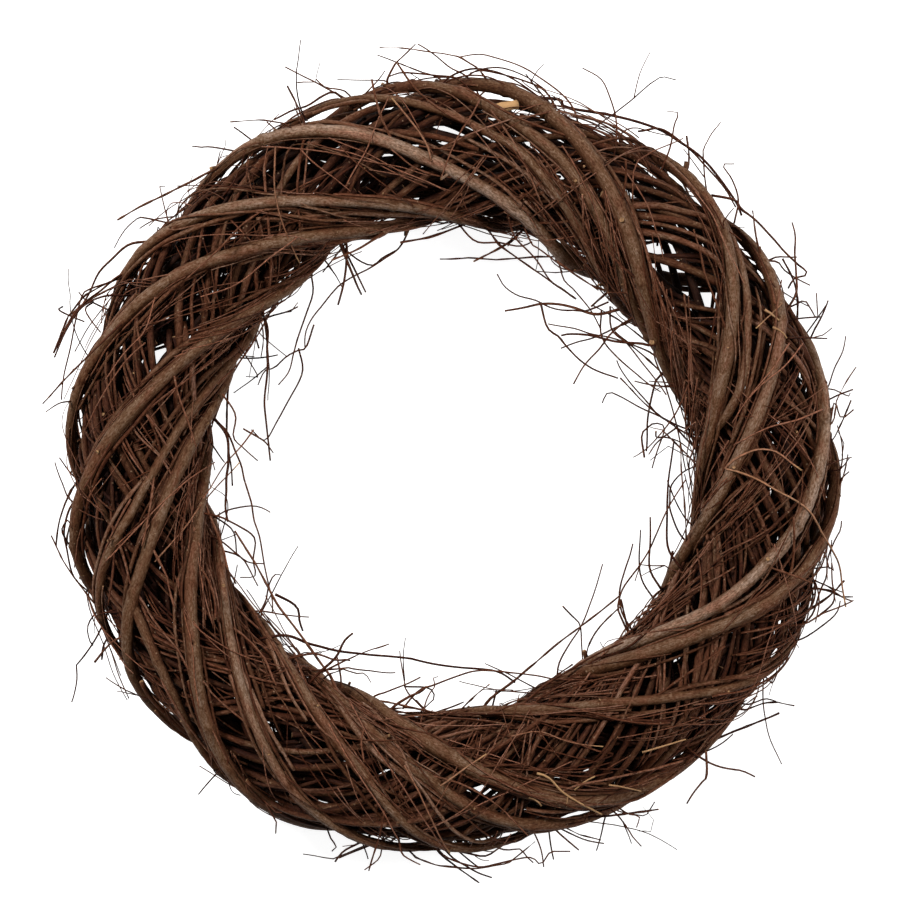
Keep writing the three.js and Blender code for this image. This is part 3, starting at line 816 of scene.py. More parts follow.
# Shoots that show against the floor at the two edges: girth, then places on the way from root to tip
edgeShoots = [
    (0.5, [(-32, 143), (-42, 136), (-50, 131), (-64, 123), (-74, 115), (-86, 101), (-91, 92), (-93, 84),
           (-93, 78)]),
    (0.45, [(-93, 78), (-99, 76), (-107, 72), (-115, 65), (-120, 63), (-124, 54)]),
    (0.5, [(-89, 115), (-93, 101), (-98, 86), (-101, 75), (-104, 63), (-111, 54)]),
    (0.65, [(-117, 90), (-118, 76), (-118, 60), (-119, 44), (-118, 28), (-117, 15), (-116, 5)]),
    (0.5, [(-95, 62), (-103, 45), (-113, 28), (-120, 18), (-128, 25)]),
    (0.45, [(-120, 18), (-114, 10)]),
    (0.5, [(-138, 34), (-140, 20), (-133, 13), (-124, 5)]),
    (0.55, [(-144, 24), (-138, 11), (-134, 2), (-132, -7), (-129, -20), (-126, -33), (-122, -43),
            (-119, -62), (-117, -72), (-114, -85), (-114, -92)]),
    (0.75, [(-66, 137), (-68, 121), (-72, 105)]),
    (0.75, [(-66, 134), (-61, 121), (-57, 112)]),
    (0.6, [(-64, 133), (-58, 121), (-54, 113)]),
    (0.4, [(-59, 134), (-50, 131), (-44, 136), (-35, 141)]),
    (0.8, [(-143, 21), (-142, 5), (-144, -7), (-144, -24), (-142, -34)]),
    (0.5, [(-167, -36), (-155, -33), (-143, -27), (-129, -24), (-121, -25), (-115, -28)]),
    (0.55, [(-146, -31), (-135, -37), (-125, -46), (-126, -59), (-125, -69), (-135, -70)]),
    (0.45, [(-149, -45), (-138, -54), (-130, -60), (-119, -61)]),
    (0.45, [(-140, -40), (-137, -56)]),
    (0.45, [(-135, -58), (-124, -76)]),
    (0.4, [(-119, -86), (-117, -77), (-114, -69), (-110, -69)]),
    (0.35, [(-126, -92), (-109, -94), (-91, -96)]),
    (0.75, [(-99, -89), (-97, -99), (-95, -105)]),
    (0.75, [(-106, -107), (-93, -112), (-85, -114), (-71, -117), (-52, -119), (-32, -122), (-12, -126),
            (6, -128), (23, -129), (32, -131), (42, -138)]),
    (0.65, [(-87, -118), (-74, -122), (-66, -122), (-64, -123)]),
    (0.8, [(-84, -130), (-74, -120), (-68, -110), (-62, -105)]),
    (0.6, [(-70, -136), (-72, -123), (-73, -120)]),
    (0.6, [(-50, -148), (-42, -145), (-32, -141), (-19, -134)]),
    (0.85, [(-36, -153), (-26, -146), (-19, -143), (-15, -139)]),
    (0.55, [(-20, -143), (-10, -139), (3, -134), (16, -130), (29, -130), (45, -132), (58, -134), (71, -136),
            (90, -134)]),
    (0.45, [(-14, -141), (-10, -147), (-14, -152), (-21, -159)]),
    (0.5, [(70, -128), (77, -114), (84, -103), (90, -88), (95, -75), (99, -62)]),
    (0.45, [(79, -96), (84, -102), (85, -114), (86, -126)]),
    (0.55, [(112, -94), (109, -78), (112, -65), (115, -56), (117, -48)]),
    (0.55, [(109, -94), (108, -88), (111, -78), (118, -67), (129, -51), (138, -30), (143, -20), (151, -7)]),
    (0.55, [(125, -73), (123, -59), (124, -40)]),
    (0.65, [(129, -65), (129, -49), (128, -31)]),
    (0.65, [(140, -51), (139, -33), (140, -14), (142, 2), (144, 18)]),
    (0.55, [(148, -42), (142, -27), (142, -20), (143, -11), (151, -2), (163, 3)]),
    (0.8, [(93, 99), (79, 103), (68, 105), (58, 105), (48, 103), (35, 101)]),
    (0.45, [(87, 101), (80, 101), (71, 101), (63, 103), (55, 107), (44, 110), (35, 116), (30, 124)]),
    (0.55, [(16, 147), (32, 145), (45, 143), (53, 146)]),
    (0.6, [(62, 91), (70, 85), (74, 80), (84, 70), (97, 62), (108, 58)]),
    (0.5, [(134, 72), (129, 75), (116, 80), (103, 84), (90, 86), (77, 90), (63, 93)]),
    (0.75, [(128, 79), (122, 80), (106, 81), (90, 85), (77, 86), (71, 85)]),
    (0.6, [(116, 95), (104, 86), (97, 78), (87, 67), (79, 54)]),
    (0.55, [(115, 94), (109, 92), (97, 87), (84, 83), (72, 78)]),
    (0.33, [(156, 16), (145, 28), (135, 34), (126, 44), (117, 54), (111, 63), (108, 70)]),
    (0.33, [(151, 26), (135, 34), (122, 40), (109, 47), (102, 49), (98, 42)]),
    (0.65, [(134, 58), (132, 54), (129, 38), (128, 25), (127, 11)]),
    (0.55, [(124, 22), (129, 27), (133, 29), (139, 26), (135, 13), (131, 0)]),
    (0.42, [(133, 20), (138, 20), (148, 17), (158, 9)]),
    (0.42, [(134, 18), (128, 9)]),
    (0.5, [(42, 147), (55, 133), (64, 121), (73, 115), (80, 109)]),
    (0.5, [(52, 145), (58, 141), (71, 131), (80, 125), (95, 114)]),
    (0.45, [(68, 136), (71, 131), (74, 121), (80, 115), (90, 102), (97, 89)]),
    (0.4, [(137, 52), (126, 54), (118, 56)]),
    (0.5, [(132, 76), (137, 57), (143, 38), (148, 18), (152, -1)]),
    (0.5, [(104, 89), (113, 80), (122, 69), (132, 56), (138, 47)]),
    (0.5, [(97, 86), (106, 73), (122, 58), (135, 49)]),
    (0.35, [(107, 214), (106, 224), (102, 239), (97, 250), (85, 257)]),
    (0.5, [(80, 228), (72, 239), (58, 250), (45, 259), (26, 265), (18, 266), (6, 264)]),
    (0.85, [(71, 239), (74, 235), (93, 231), (117, 226), (135, 220), (148, 212), (161, 202), (174, 187),
            (184, 173), (188, 163)]),
    (0.6, [(61, 245), (45, 252), (23, 258), (13, 257)]),
    (0.6, [(137, 219), (155, 207), (169, 192), (179, 179), (185, 169)]),
    (0.45, [(12, 250), (0, 257), (-12, 267), (-27, 275)]),
    (0.5, [(109, 213), (115, 218), (122, 220), (132, 218), (143, 216)]),
    (0.5, [(141, 205), (144, 221), (147, 229), (140, 230)]),
    (0.45, [(186, 173), (182, 186), (176, 196), (184, 197)]),
    (0.6, [(-124, 210), (-127, 212), (-140, 221)]),
    (0.6, [(-107, 213), (-109, 216), (-119, 225)]),
    (0.7, [(-72, 240), (-77, 241), (-91, 233), (-102, 230), (-113, 224)]),
    (0.6, [(-74, 239), (-97, 230), (-108, 221), (-110, 212)]),
    (0.45, [(-66, 242), (-70, 244), (-80, 245), (-86, 250)]),
    (0.45, [(-40, 248), (-45, 250), (-58, 251), (-73, 252)]),
    (0.5, [(-13, 244), (-32, 250), (-42, 249), (-50, 246)]),
    (0.6, [(6, 248), (-6, 251), (-29, 253), (-39, 250)]),
    (0.45, [(-196, 161), (-201, 160), (-211, 150), (-216, 142)]),
    (0.7, [(-207, 145), (-218, 136), (-227, 127), (-235, 113), (-242, 101), (-251, 89)]),
    (0.65, [(-193, 133), (-213, 125), (-225, 115), (-235, 107), (-243, 97), (-251, 80), (-254, 74)]),
    (0.6, [(-220, 110), (-235, 103), (-245, 89), (-253, 71)]),
    (0.5, [(-232, 115), (-236, 110), (-240, 96), (-243, 80), (-247, 60), (-249, 44)]),
    (0.55, [(-251, 102), (-242, 97), (-234, 94)]),
    (0.55, [(-234, 101), (-223, 87)]),
    (0.35, [(-231, 107), (-236, 109), (-240, 114)]),
    (0.45, [(-242, -20), (-248, -11), (-254, 4)]),
    (0.65, [(-237, -18), (-245, -25), (-249, -40), (-247, -52), (-242, -69), (-232, -80)]),
    (0.5, [(-249, -40), (-245, -33), (-242, -38)]),
    (0.5, [(-240, -6), (-246, -1), (-252, 7)]),
    (0.6, [(-223, -92), (-225, -91), (-232, -101), (-232, -110), (-230, -114)]),
    (0.65, [(222, 112), (223, 125), (223, 137), (223, 150), (221, 159)]),
    (0.7, [(184, 173), (188, 168), (198, 159), (213, 141), (230, 126), (222, 122), (218, 116)]),
    (0.55, [(211, 133), (216, 128), (225, 123), (234, 119)]),
    (0.55, [(209, 136), (213, 137), (225, 137)]),
    (0.6, [(229, 78), (232, 82), (237, 92), (241, 102), (243, 108)]),
    (0.55, [(225, 78), (231, 86), (245, 106)]),
    (0.5, [(224, 107), (228, 109), (232, 104), (237, 97), (236, 113)]),
    (0.5, [(224, 96), (235, 97), (238, 97)]),
    (0.35, [(240, 41), (242, 47), (246, 54), (250, 65), (255, 76), (257, 86)]),
    (0.6, [(206, 25), (225, 36), (242, 43), (250, 47), (260, 51)]),
    (0.45, [(235, 48), (240, 51), (248, 52), (258, 47), (260, 49)]),
    (0.6, [(242, 26), (246, 43), (250, 33), (261, 40)]),
    (0.5, [(243, -1), (249, 0), (254, 7)]),
    (0.5, [(249, -14), (251, -7), (257, -2)]),
    (0.55, [(225, -80), (235, -77), (245, -78), (253, -83), (258, -85)]),
    (0.55, [(227, -99), (238, -93), (251, -88), (262, -83)]),
    (0.5, [(225, -110), (242, -99), (249, -92), (251, -85)]),
    (0.55, [(232, -96), (238, -78), (242, -69), (243, -59), (248, -47), (252, -40), (253, -34)]),
    (0.55, [(245, -85), (244, -72), (243, -60)]),
    (0.5, [(237, -49), (242, -56), (245, -65)]),
    (0.4, [(235, -64), (242, -63), (246, -65)]),
    (0.45, [(233, -72), (236, -85), (233, -98)]),
    (0.6, [(165, -188), (175, -192), (187, -194), (196, -198)]),
    (0.65, [(164, -196), (161, -201), (156, -208), (152, -215)]),
    (0.45, [(190, -151), (196, -150), (203, -148), (210, -150)]),
    (0.5, [(204, -135), (207, -138), (210, -131)]),
    (0.6, [(-14, -239), (-6, -242), (3, -252), (16, -260), (27, -264)]),
    (0.55, [(-9, -239), (-3, -242), (13, -254), (18, -257)]),
    (0.6, [(-6, -241), (13, -248), (23, -250), (32, -244), (42, -236), (52, -230)]),
    (0.5, [(-6, -246), (3, -251), (19, -255), (32, -253), (42, -251), (52, -250), (58, -254), (64, -246),
           (71, -245), (77, -245)]),
    (0.5, [(30, -244), (39, -246), (45, -246), (50, -252), (54, -256)]),
    (0.65, [(63, -225), (68, -232), (74, -238), (83, -246)]),
    (0.4, [(64, -228), (74, -234), (87, -239), (99, -241)]),
    (0.55, [(63, -217), (63, -226), (65, -242), (67, -253)]),
    (0.4, [(52, -223), (53, -230), (58, -244), (60, -255)]),
    (0.7, [(-52, -237), (-58, -241), (-68, -246), (-74, -253)]),
    (0.6, [(-39, -241), (-48, -242), (-58, -247), (-72, -253)]),
    (0.5, [(-43, -237), (-44, -244), (-46, -251), (-55, -258)]),
    (0.5, [(-57, -236), (-55, -246), (-53, -253)]),
    (0.5, [(103, -213), (108, -217), (115, -221), (121, -222), (119, -229)]),
    (0.5, [(45, -225), (55, -230), (64, -229), (80, -226), (87, -224), (97, -221), (108, -215)]),
    (0.45, [(-77, -238), (-73, -242), (-76, -246)]),
    (0.55, [(-32, -243), (-30, -247), (-24, -250), (-19, -252)]),
    (0.6, [(-6, 245), (3, 252), (15, 256), (27, 255), (38, 251), (52, 242), (63, 232)]),
    (0.55, [(-8, 242), (0, 249), (12, 252), (24, 251), (35, 246), (48, 237)]),
    (0.5, [(15, 256), (32, 259), (48, 253), (61, 244)]),
    (0.5, [(28, 246), (41, 247), (54, 241), (70, 231), (84, 220)]),
    (0.5, [(-42, 240), (-30, 247), (-15, 252), (2, 253), (18, 250)]),
]
# Shoots that show up on the front: girth, how pale, then places from root to tip
frontShoots = [
    (0.55, 0, [(-120, 205), (-97, 204), (-74, 200), (-52, 195), (-32, 191), (-14, 186)]),
    (0.5, 0, [(-95, 203), (-84, 192), (-71, 182), (-63, 176)]),
    (0.5, 0, [(-77, 210), (-58, 202), (-42, 194), (-29, 187)]),
    (0.6, 0.1, [(-111, 205), (-111, 192), (-111, 180), (-109, 167), (-105, 153), (-101, 142), (-96, 131)]),
    (0.6, 0, [(19, 235), (14, 224), (6, 212), (-1, 199), (-6, 183)]),
    (0.75, 0.12, [(-12, 195), (-13, 202), (-19, 213), (-29, 226), (-37, 236)]),
    (0.5, 0, [(-66, 179), (-61, 189), (-54, 200), (-48, 215), (-39, 237)]),
    (0.5, 0.3, [(211, 105), (203, 97), (194, 89)]),
    (0.6, 0, [(238, 38), (219, 31), (200, 26), (180, 15)]),
    (0.5, 0, [(216, 80), (203, 63), (190, 47), (179, 29)]),
    (0.5, 0, [(225, 80), (213, 66), (198, 54), (188, 43)]),
    (0.75, 0.15, [(175, 0), (184, 9), (194, 13), (206, 11), (216, 4), (223, -1)]),
    (0.75, 0.3, [(175, 0), (184, -2), (196, -7), (209, -15), (222, -22), (233, -34), (243, -49), (250, -62),
                 (252, -75), (254, -89)]),
    (0.6, 0.25, [(-6, -201), (3, -195), (13, -188), (23, -181)]),
    (0.5, 0.1, [(39, -170), (50, -168), (60, -168), (75, -174), (97, -176)]),
    (0.8, 1, [(55, -193), (63, -195), (68, -202), (74, -207), (84, -213), (97, -221)]),
    (0.6, 0.8, [(122, -180), (132, -177), (140, -175), (150, -172)]),
    (0.55, 0.9, [(79, -204), (83, -200), (87, -197), (92, -195)]),
    (0.6, 0.7, [(101, -201), (108, -202), (115, -204), (122, -206)]),
    (0.5, 0.6, [(75, -207), (74, -210), (74, -214)]),
    (0.7, 0.8, [(50, -208), (53, -208), (56, -210), (58, -214)]),
    (0.8, 0.8, [(200, 101), (203, 99), (206, 98), (209, 94)]),
    (0.7, 0.6, [(205, 90), (208, 88), (212, 87), (214, 83)]),
    (0.55, 0, [(-77, -162), (-68, -178), (-58, -194), (-46, -213), (-33, -236)]),
    (0.55, 0, [(-64, -149), (-48, -175), (-32, -197), (-16, -223), (-3, -244)]),
    (0.6, 0.1, [(-29, -188), (-19, -207), (-6, -236), (0, -246)]),
    (0.5, 0, [(-126, 25), (-135, 13), (-147, -1), (-158, -19)]),
    (0.5, 0, [(-97, 147), (-116, 133), (-135, 118), (-158, 109)]),
    (0.55, 0, [(-193, 80), (-206, 67), (-220, 47), (-232, 25)]),
    (0.5, 0, [(-187, 109), (-193, 89), (-205, 76), (-219, 56)]),
    (0.5, 0, [(-219, -59), (-193, -33), (-167, -7), (-151, 4)]),
    (0.5, 0.1, [(-187, -59), (-171, -40), (-151, -14), (-135, 4)]),
    (0.5, 0, [(109, 192), (122, 173), (132, 150), (135, 133)]),
    (0.5, 0, [(71, 205), (87, 179), (97, 147), (104, 121)]),
]
# Rods that the front view shows between the binding rods, with the same values
bandRods = [
    (2.5, 0, [(96, 174), (104, 171), (116, 168), (132, 167), (148, 164), (165, 160), (178, 152)]),
    (2.7, 0, [(97, 168), (106, 164), (118, 161), (135, 159), (153, 156), (169, 151), (182, 142)]),
    (2.4, 0, [(104, 157), (118, 151), (137, 148), (155, 142), (169, 134), (180, 122)]),
    (1.5, 0, [(108, 160), (122, 156), (140, 153), (158, 148), (174, 139)]),
    (2.2, 0, [(-40, 214), (-26, 213), (-12, 211), (2, 208), (18, 203)]),
    (2.0, 0, [(-80, 143), (-66, 148), (-50, 152), (-34, 156)]),
]

# an edge shoot's root is carried on over rootLength, its way turned by toRing towards the ring's middle
edgeLook = {
    "thinnest": 0.5, "girth": 1.15, "height": (26, 64), "rise": 16, "rootLength": 16, "toRing": 0.8,
    "step": 3.5, "young": 0.85, "sides": 4, "slot": "weaver_bark", "seed": 8,
}
frontLook = {
    "depth": 1.5, "over": 1.0, "step": 4, "paleTip": 6.0, "young": 0.75, "tones": (0.9, 2.1), "sides": 4,
    "slot": "weaver_bark",
}
bandLook = {
    "depth": 11, "over": 0.1, "step": 3.5, "paleTip": 0, "young": 0.15, "tones": (0.3, 0.9), "sides": 10,
    "slot": "weaver_bark", "lumps": {"size": 5, "height": 0.5},
}
shootTaper = (1.1, 0.75)  # girth at the root and at the tip
skinEdge = 0.97  # of the ring's half width, no shoot is laid lower than the skin is there
peeledPale = 0.8


# a shoot of the edge, with its root carried on into the rods
def edgeShoot(girth, places, rng):
    places = np.array(places, float)
    start = rng.uniform(*edgeLook["height"])
    heights = start + rng.uniform(-1, 1) * edgeLook["rise"] * np.linspace(0, 1, len(places))
    line = np.column_stack([places, heights])
    ringMiddle = np.array([*(unit(line[0, :2]) * ringRadius), centreHeight])
    way = unit(line[0] - line[1]) + edgeLook["toRing"] * unit(ringMiddle - line[0])
    line = np.vstack([line[0] + unit(way) * edgeLook["rootLength"], line])
    girths = max(girth, edgeLook["thinnest"]) * edgeLook["girth"] * np.linspace(*shootTaper, len(line))
    points, radii, run = rounded(line, girths, edgeLook["step"])
    offTable(points, radii)
    return strandOf(points, radii, run, rng, edgeLook["young"])


# a shoot of the front, laid on the skin and over the rods there, or a rod laid under the binding rods
def frontShoot(girth, pale, places, look, rng):
    places = np.array(places, float)
    flat = np.column_stack([places, np.zeros(len(places))])
    flat, radii, _ = rounded(flat, girth * np.linspace(*shootTaper, len(places)), look["step"])
    bearings = np.degrees(np.arctan2(flat[:, 1], flat[:, 0]))
    edge = ringPoints(bearings, np.zeros(len(flat)), np.zeros(len(flat)))
    middle = np.hypot(edge[:, 0], edge[:, 1]) - halfWidth
    share = np.clip((np.hypot(flat[:, 0], flat[:, 1]) - middle) / halfWidth, -skinEdge, skinEdge)
    flat[:, 2] = centreHeight + halfDepth * np.sqrt(1 - share**2) - look["depth"]
    line = clearOf(flat, radii, look["over"])
    offTable(line, radii)
    made = strandOf(*resample(line, radii, look["step"]), rng, look["young"] * (1 - pale), pale * peeledPale)
    made["tipPale"] = look["paleTip"] if pale else 0.0
    made["tone"] = between(*look["tones"], made["tone"])
    return made


# thin shoots that were wound on together with a binding rod and hug its sides
companionLook = {
    "every": 36, "length": (50, 200), "thick": (0.35, 1.4), "round": (72, 125), "drift": 16, "apart": 0.15,
    "tipApart": 2, "over": 0.4, "step": 5, "fewest": 6, "young": (0.2, 0.9), "sides": 6,
    "slot": "binding_bark", "seed": 7,
}


def companionsOf(strand, rng):
    look, made = companionLook, []
    points, radii, run = resample(strand["points"], strand["radii"], look["step"])
    along, out = unit(np.gradient(points, axis=0)), outwardAt(points)
    out = unit(out - along * (along * out).sum(1, keepdims=True))
    side = np.cross(along, out)
    for _ in range(int(run[-1] / look["every"])):
        count = int(rng.uniform(*look["length"]) / look["step"])
        first = int(rng.integers(0, max(len(run) - count, 1)))
        part = slice(first, first + count)
        share = np.linspace(0, 1, len(run[part]))
        girths = between(*look["thick"], rng.uniform() ** 2) * np.linspace(*shootTaper, len(share))
        turn = rng.choice([-1, 1]) * rng.uniform(*look["round"]) + rng.normal(0, look["drift"]) * share
        turn = np.radians(turn)[:, None]
        off = (radii[part] + girths + look["apart"] + rng.uniform(0, look["tipApart"]) * share**4)[:, None]
        line = points[part] + (out[part] * np.cos(turn) + side[part] * np.sin(turn)) * off
        line = clearOf(line, girths, look["over"], 1)
        offTable(line, girths)
        long = len(line) >= look["fewest"]
        if long and inBox(line, girths) and not inOpening(line, openings + barePlaces):
            made.append(strandOf(*resample(line, girths, look["step"]), rng, rng.uniform(*look["young"])))
    return made


# twigs that branch off and stand away from the rods all round, most at the two edges
strayLook = {
    "count": 190, "angles": ((-30, 50), (130, 225), (60, 120), (230, 310)), "shares": (0.36, 0.4, 0.1, 0.14),
    "rootDepth": 9.0, "length": (26, 92), "moreShort": 1.6, "thick": (0.38, 0.65), "taper": (1.1, 0.7),
    "turn": (0.6, 0.5), "lean": (8, 40), "bend": 0.03, "shake": 0.02, "step": 4,
    "kinks": (0, 3), "kinkAt": (0.3, 0.95), "kink": (15, 60), "kinkShare": 0.6,
    "fork": 0.4, "forkAt": (0.3, 0.6), "forkAside": 0.45, "forkLength": (0.25, 0.5), "forkGirth": 0.8,
    "clearMiddle": 104, "young": (0.7, 1.0), "sides": 4, "slot": "weaver_bark", "seed": 5,
}


def strayTwig(start, way, length, thick, rng):
    look = strayLook
    count = max(int(length / look["step"]), fewestSteps)
    kinks = rng.uniform(*look["kinkAt"], rng.integers(*look["kinks"]))
    line, bend = [start], rng.normal(0, look["bend"], 3)
    for k in range(count):
        if any(k == int(at * count) for at in kinks):
            turn = rng.normal(0, 1, 3)
            way = way + turn * math.tan(math.radians(rng.uniform(*look["kink"]))) * look["kinkShare"]
        way = unit(way) + bend + rng.normal(0, look["shake"], 3)
        line.append(line[-1] + unit(way) * look["step"])
    return np.array(line), thick * np.linspace(*look["taper"], count + 1)


def strayTwigs(rng):
    look, made = strayLook, []
    while len(made) < look["count"]:
        zone = look["angles"][rng.choice(len(look["angles"]), p=look["shares"])]
        bearing, angle = rng.uniform(0, 360), rng.uniform(*zone)
        root = ringPoints(bearing, angle, look["rootDepth"])
        along = unit(ringPoints(bearing + 1, angle, look["rootDepth"]) - root)
        across = unit(ringPoints(bearing, angle + 2, look["rootDepth"]) - root)
        turn = rng.choice([-1, 1]) * rng.normal(*look["turn"])
        lean = math.radians(rng.uniform(*look["lean"]))
        way = along * math.cos(turn) * rng.choice([-1, 1]) + across * math.sin(turn)
        way = way * math.cos(lean) + outwardAt(root) * math.sin(lean)
        length = between(*look["length"], rng.uniform() ** look["moreShort"])
        line, girths = strayTwig(root, way, length, rng.uniform(*look["thick"]), rng)
        family = [(line, girths)]
        if rng.uniform() < look["fork"]:
            k = int(len(line) * rng.uniform(*look["forkAt"]))
            aside = (line[k + 1] - line[k]) / look["step"] + rng.normal(0, look["forkAside"], 3)
            length = length * rng.uniform(*look["forkLength"])
            family.append(strayTwig(line[k], aside, length, girths[k] * look["forkGirth"], rng))
        for line, girths in family:
            offTable(line, girths)
            clear = np.hypot(line[:, 0], line[:, 1]).min() > look["clearMiddle"]
            if clear and inBox(line, girths) and not inOpening(line):
                made.append(strandOf(*resample(line, girths, look["step"]), rng, rng.uniform(*look["young"])))
    return made


# adds a node with its settings and what feeds it, and gives back the output that is used
def addNode(tree, kind, feeds, output=0, **settings):
    made = tree.nodes.new("ShaderNode" + kind)
    for name, value in settings.items():
        setattr(made, name, value)
    for socket, source in feeds.items():
        if isinstance(source, bpy.types.NodeSocket):
            tree.links.new(source, made.inputs[socket])
        else:
            made.inputs[socket].default_value = source
    return made.outputs[output] if len(made.outputs) else made


def linear(hexColour):
    parts = [int(hexColour[i:i + 2], 16) / 255 for i in (0, 2, 4)]
    return tuple(c / 12.92 if c <= 0.04045 else ((c + 0.055) / 1.055) ** 2.4 for c in parts) + (1,)


# Unpeeled willow, cut green and dried. Its matt bark shrinks into fine wrinkles along the rod. It is
# grey-brown on old wood and red-brown on the year's shoots, with pale pores set across it and a dark ring at
# each bud.
barkLook = {
    "young": "512f1f",
    "pore": "7a634e",
    "peeled": "96744f",
    "cut": "6e5239",
    "patterns": {  # the node, how many mm a grain is along the rod and round it, and the node's settings
        "wrinkles": ("TexNoise", (4, 0.5), {"Detail": 3, "Roughness": 0.62}),
        "patches": ("TexNoise", (22, 7), {"Detail": 3, "Roughness": 0.6}),
        "grit": ("TexNoise", (1.8, 1.1), {"Detail": 4, "Roughness": 0.65}),
        "spots": ("TexVoronoi", (4.2, 5.6), {}),
    },
    "patchAt": (0.36, 0.49, 0.62),  # where the ruddy, the brown and the old patches are purest
    "pores": {"From Min": 0.15, "From Max": 0.07},  # from a pore's edge to where it is full, in a spot's size
    "poreCover": 0.5,
    # each of these lightens or darkens the bark: rod by rod, in the wrinkles, in spots, at the buds and, as
    # painted shade, deep under the ring's skin and at a rod's sides
    "tone": {"To Min": 0.44, "To Max": 1.45},
    "furrow": {"From Min": 0.3, "From Max": 0.66, "To Min": 0.52, "To Max": 1.18},
    "speckle": {"From Min": 0.3, "From Max": 0.7, "To Min": 0.35, "To Max": 1.65},
    "budShade": {"To Min": 1, "To Max": 0.5},
    "unfaded": {"To Min": 1, "To Max": 0.19},
    "redder": (0.935, 1.336, 1.884),  # how fast red, green and blue fall as the bark darkens
    "fullTone": 1.12,  # past this shade it only gets lighter
    "fibre": {"From Min": 0.25, "From Max": 0.75, "To Min": 0.7, "To Max": 1.15},
    "roughness": {"From Min": 0.3, "From Max": 0.7, "To Min": 0.82, "To Max": 0.62},
    "reliefs": {"spots": 0.35, "grit": 0.7},  # beside the wrinkles' relief
    "bump": {"Distance": 0.0005, "Strength": 0.8},  # metres
    "gloss": {"IOR": 1.45, "Specular IOR Level": 0.1},
    "budRing": 0.45,  # how dark the ring round a rod is at a bud, beside the bud itself
    "tipFade": 1.3,  # a pale tip fades out over this many times its length
    # painted shade: the bark is painted darker from the first depth to the second under the skin, and at a
    # rod's sides
    "fadeDepth": (4.5, 16),  # mm under the skin
    "fadeAside": 0.72,  # how much darker a rod's sides are painted, as painted shade
    "grainShift": 5,  # metres, from the grain of the darkest rod to that of the lightest
}
# a Mix node for colours: its share, its two colours and its output
mixShare, mixBelow, mixAbove = 0, 6, 7
mixing = {"output": 2, "data_type": "RGBA"}
tinting = {**mixing, "blend_type": "MULTIPLY"}


def willowBark(name, old, brown, ruddy):
    material = bpy.data.materials.new(name)
    material.use_nodes = True
    tree = material.node_tree
    tree.nodes.clear()
    grain = addNode(tree, "Attribute", {}, "Vector", attribute_name="grain")
    tone, young, pale, bud, deep, cutEnd = (addNode(tree, "Attribute", {}, "Fac", attribute_name=a)
                                            for a in ("tone", "young", "pale", "bud", "deep", "cutEnd"))
    pattern = {}
    for key, (kind, size, settings) in barkLook["patterns"].items():
        along, aside = (1 / mm * 1000 for mm in size)
        stretched = addNode(tree, "Mapping", {"Vector": grain, "Scale": (along, aside, aside)})
        pattern[key] = addNode(tree, kind, {"Vector": stretched, "Scale": 1, **settings})
    pattern["spots"] = addNode(tree, "MapRange", {"Value": pattern["spots"], **barkLook["pores"]})

    # patches of grey-brown, brown and red, then the year's bark
    colour = addNode(tree, "ValToRGB", {"Fac": pattern["patches"]})
    stops = colour.node.color_ramp.elements
    first, middle, last = barkLook["patchAt"]
    stops[0].position, stops[0].color = first, linear(ruddy)
    stops[1].position, stops[1].color = last, linear(old)
    stops.new(middle).color = linear(brown)
    newBark = linear(barkLook["young"])
    colour = addNode(tree, "Mix", {mixShare: young, mixBelow: colour, mixAbove: newBark}, **mixing)

    shade = addNode(tree, "MapRange", {"Value": tone, **barkLook["tone"]}, clamp=False)
    factors = {key: addNode(tree, "MapRange", {"Value": source, **barkLook[key]})
               for key, source in (("furrow", pattern["wrinkles"]), ("speckle", pattern["grit"]),
                                   ("budShade", bud), ("unfaded", deep))}
    # the last factor is painted shade, darker deep under the skin and at a rod's sides
    for factor in factors.values():
        shade = addNode(tree, "Math", {0: shade, 1: factor}, operation="MULTIPLY")
    # the darker, the redder: green and blue fall faster than red
    dark = addNode(tree, "Math", {0: shade, 1: barkLook["fullTone"]}, operation="MINIMUM")
    light = addNode(tree, "Math", {0: shade, 1: barkLook["fullTone"]}, operation="DIVIDE")
    light = addNode(tree, "Math", {0: light, 1: 1}, operation="MAXIMUM")
    red, green, blue = (addNode(tree, "Math", {0: dark, 1: power}, operation="POWER")
                        for power in barkLook["redder"])
    dark = addNode(tree, "CombineColor", {"Red": red, "Green": green, "Blue": blue})
    for tint in (dark, light):
        colour = addNode(tree, "Mix", {mixShare: 1.0, mixBelow: colour, mixAbove: tint}, **tinting)

    # over it pores, then peeled wood, streaked lengthwise, and the cut ends, spotted as the bark is
    pores = addNode(tree, "Math", {0: pattern["spots"], 1: barkLook["poreCover"]}, operation="MULTIPLY")
    covers = [(pores, linear(barkLook["pore"]))]
    fibre = addNode(tree, "MapRange", {"Value": pattern["wrinkles"], **barkLook["fibre"]})
    for share, wood, tint in ((pale, "peeled", fibre), (cutEnd, "cut", factors["speckle"])):
        feeds = {mixShare: 1.0, mixBelow: linear(barkLook[wood]), mixAbove: tint}
        covers.append((share, addNode(tree, "Mix", feeds, **tinting)))
    for share, cover in covers:
        colour = addNode(tree, "Mix", {mixShare: share, mixBelow: colour, mixAbove: cover}, **mixing)

    rough = addNode(tree, "MapRange", {"Value": pattern["wrinkles"], **barkLook["roughness"]})
    height = pattern["wrinkles"]
    for key, amount in barkLook["reliefs"].items():
        height = addNode(tree, "Math", {0: pattern[key], 1: amount, 2: height}, operation="MULTIPLY_ADD")
    relief = addNode(tree, "Bump", {"Height": height, **barkLook["bump"]})
    surface = addNode(tree, "BsdfPrincipled", {"Base Color": colour, "Roughness": rough, "Normal": relief,
                                               **barkLook["gloss"]})
    addNode(tree, "OutputMaterial", {"Surface": surface})
    return material


barks = {
    "binding_bark": willowBark("dried_willow_bark_old_rod", "604d40", "5b4536", "593c2d"),
    "weaver_bark": willowBark("dried_willow_bark_thin_rod", "5a4537", "563b2e", "533323"),
    # the inner rods' bark is the same willow bark painted darker, as painted shade deep in the ring
    "inner_bark": willowBark("dried_willow_bark_inner_rod", "4a382e", "443026", "40291f"),
}
print("bark ready")


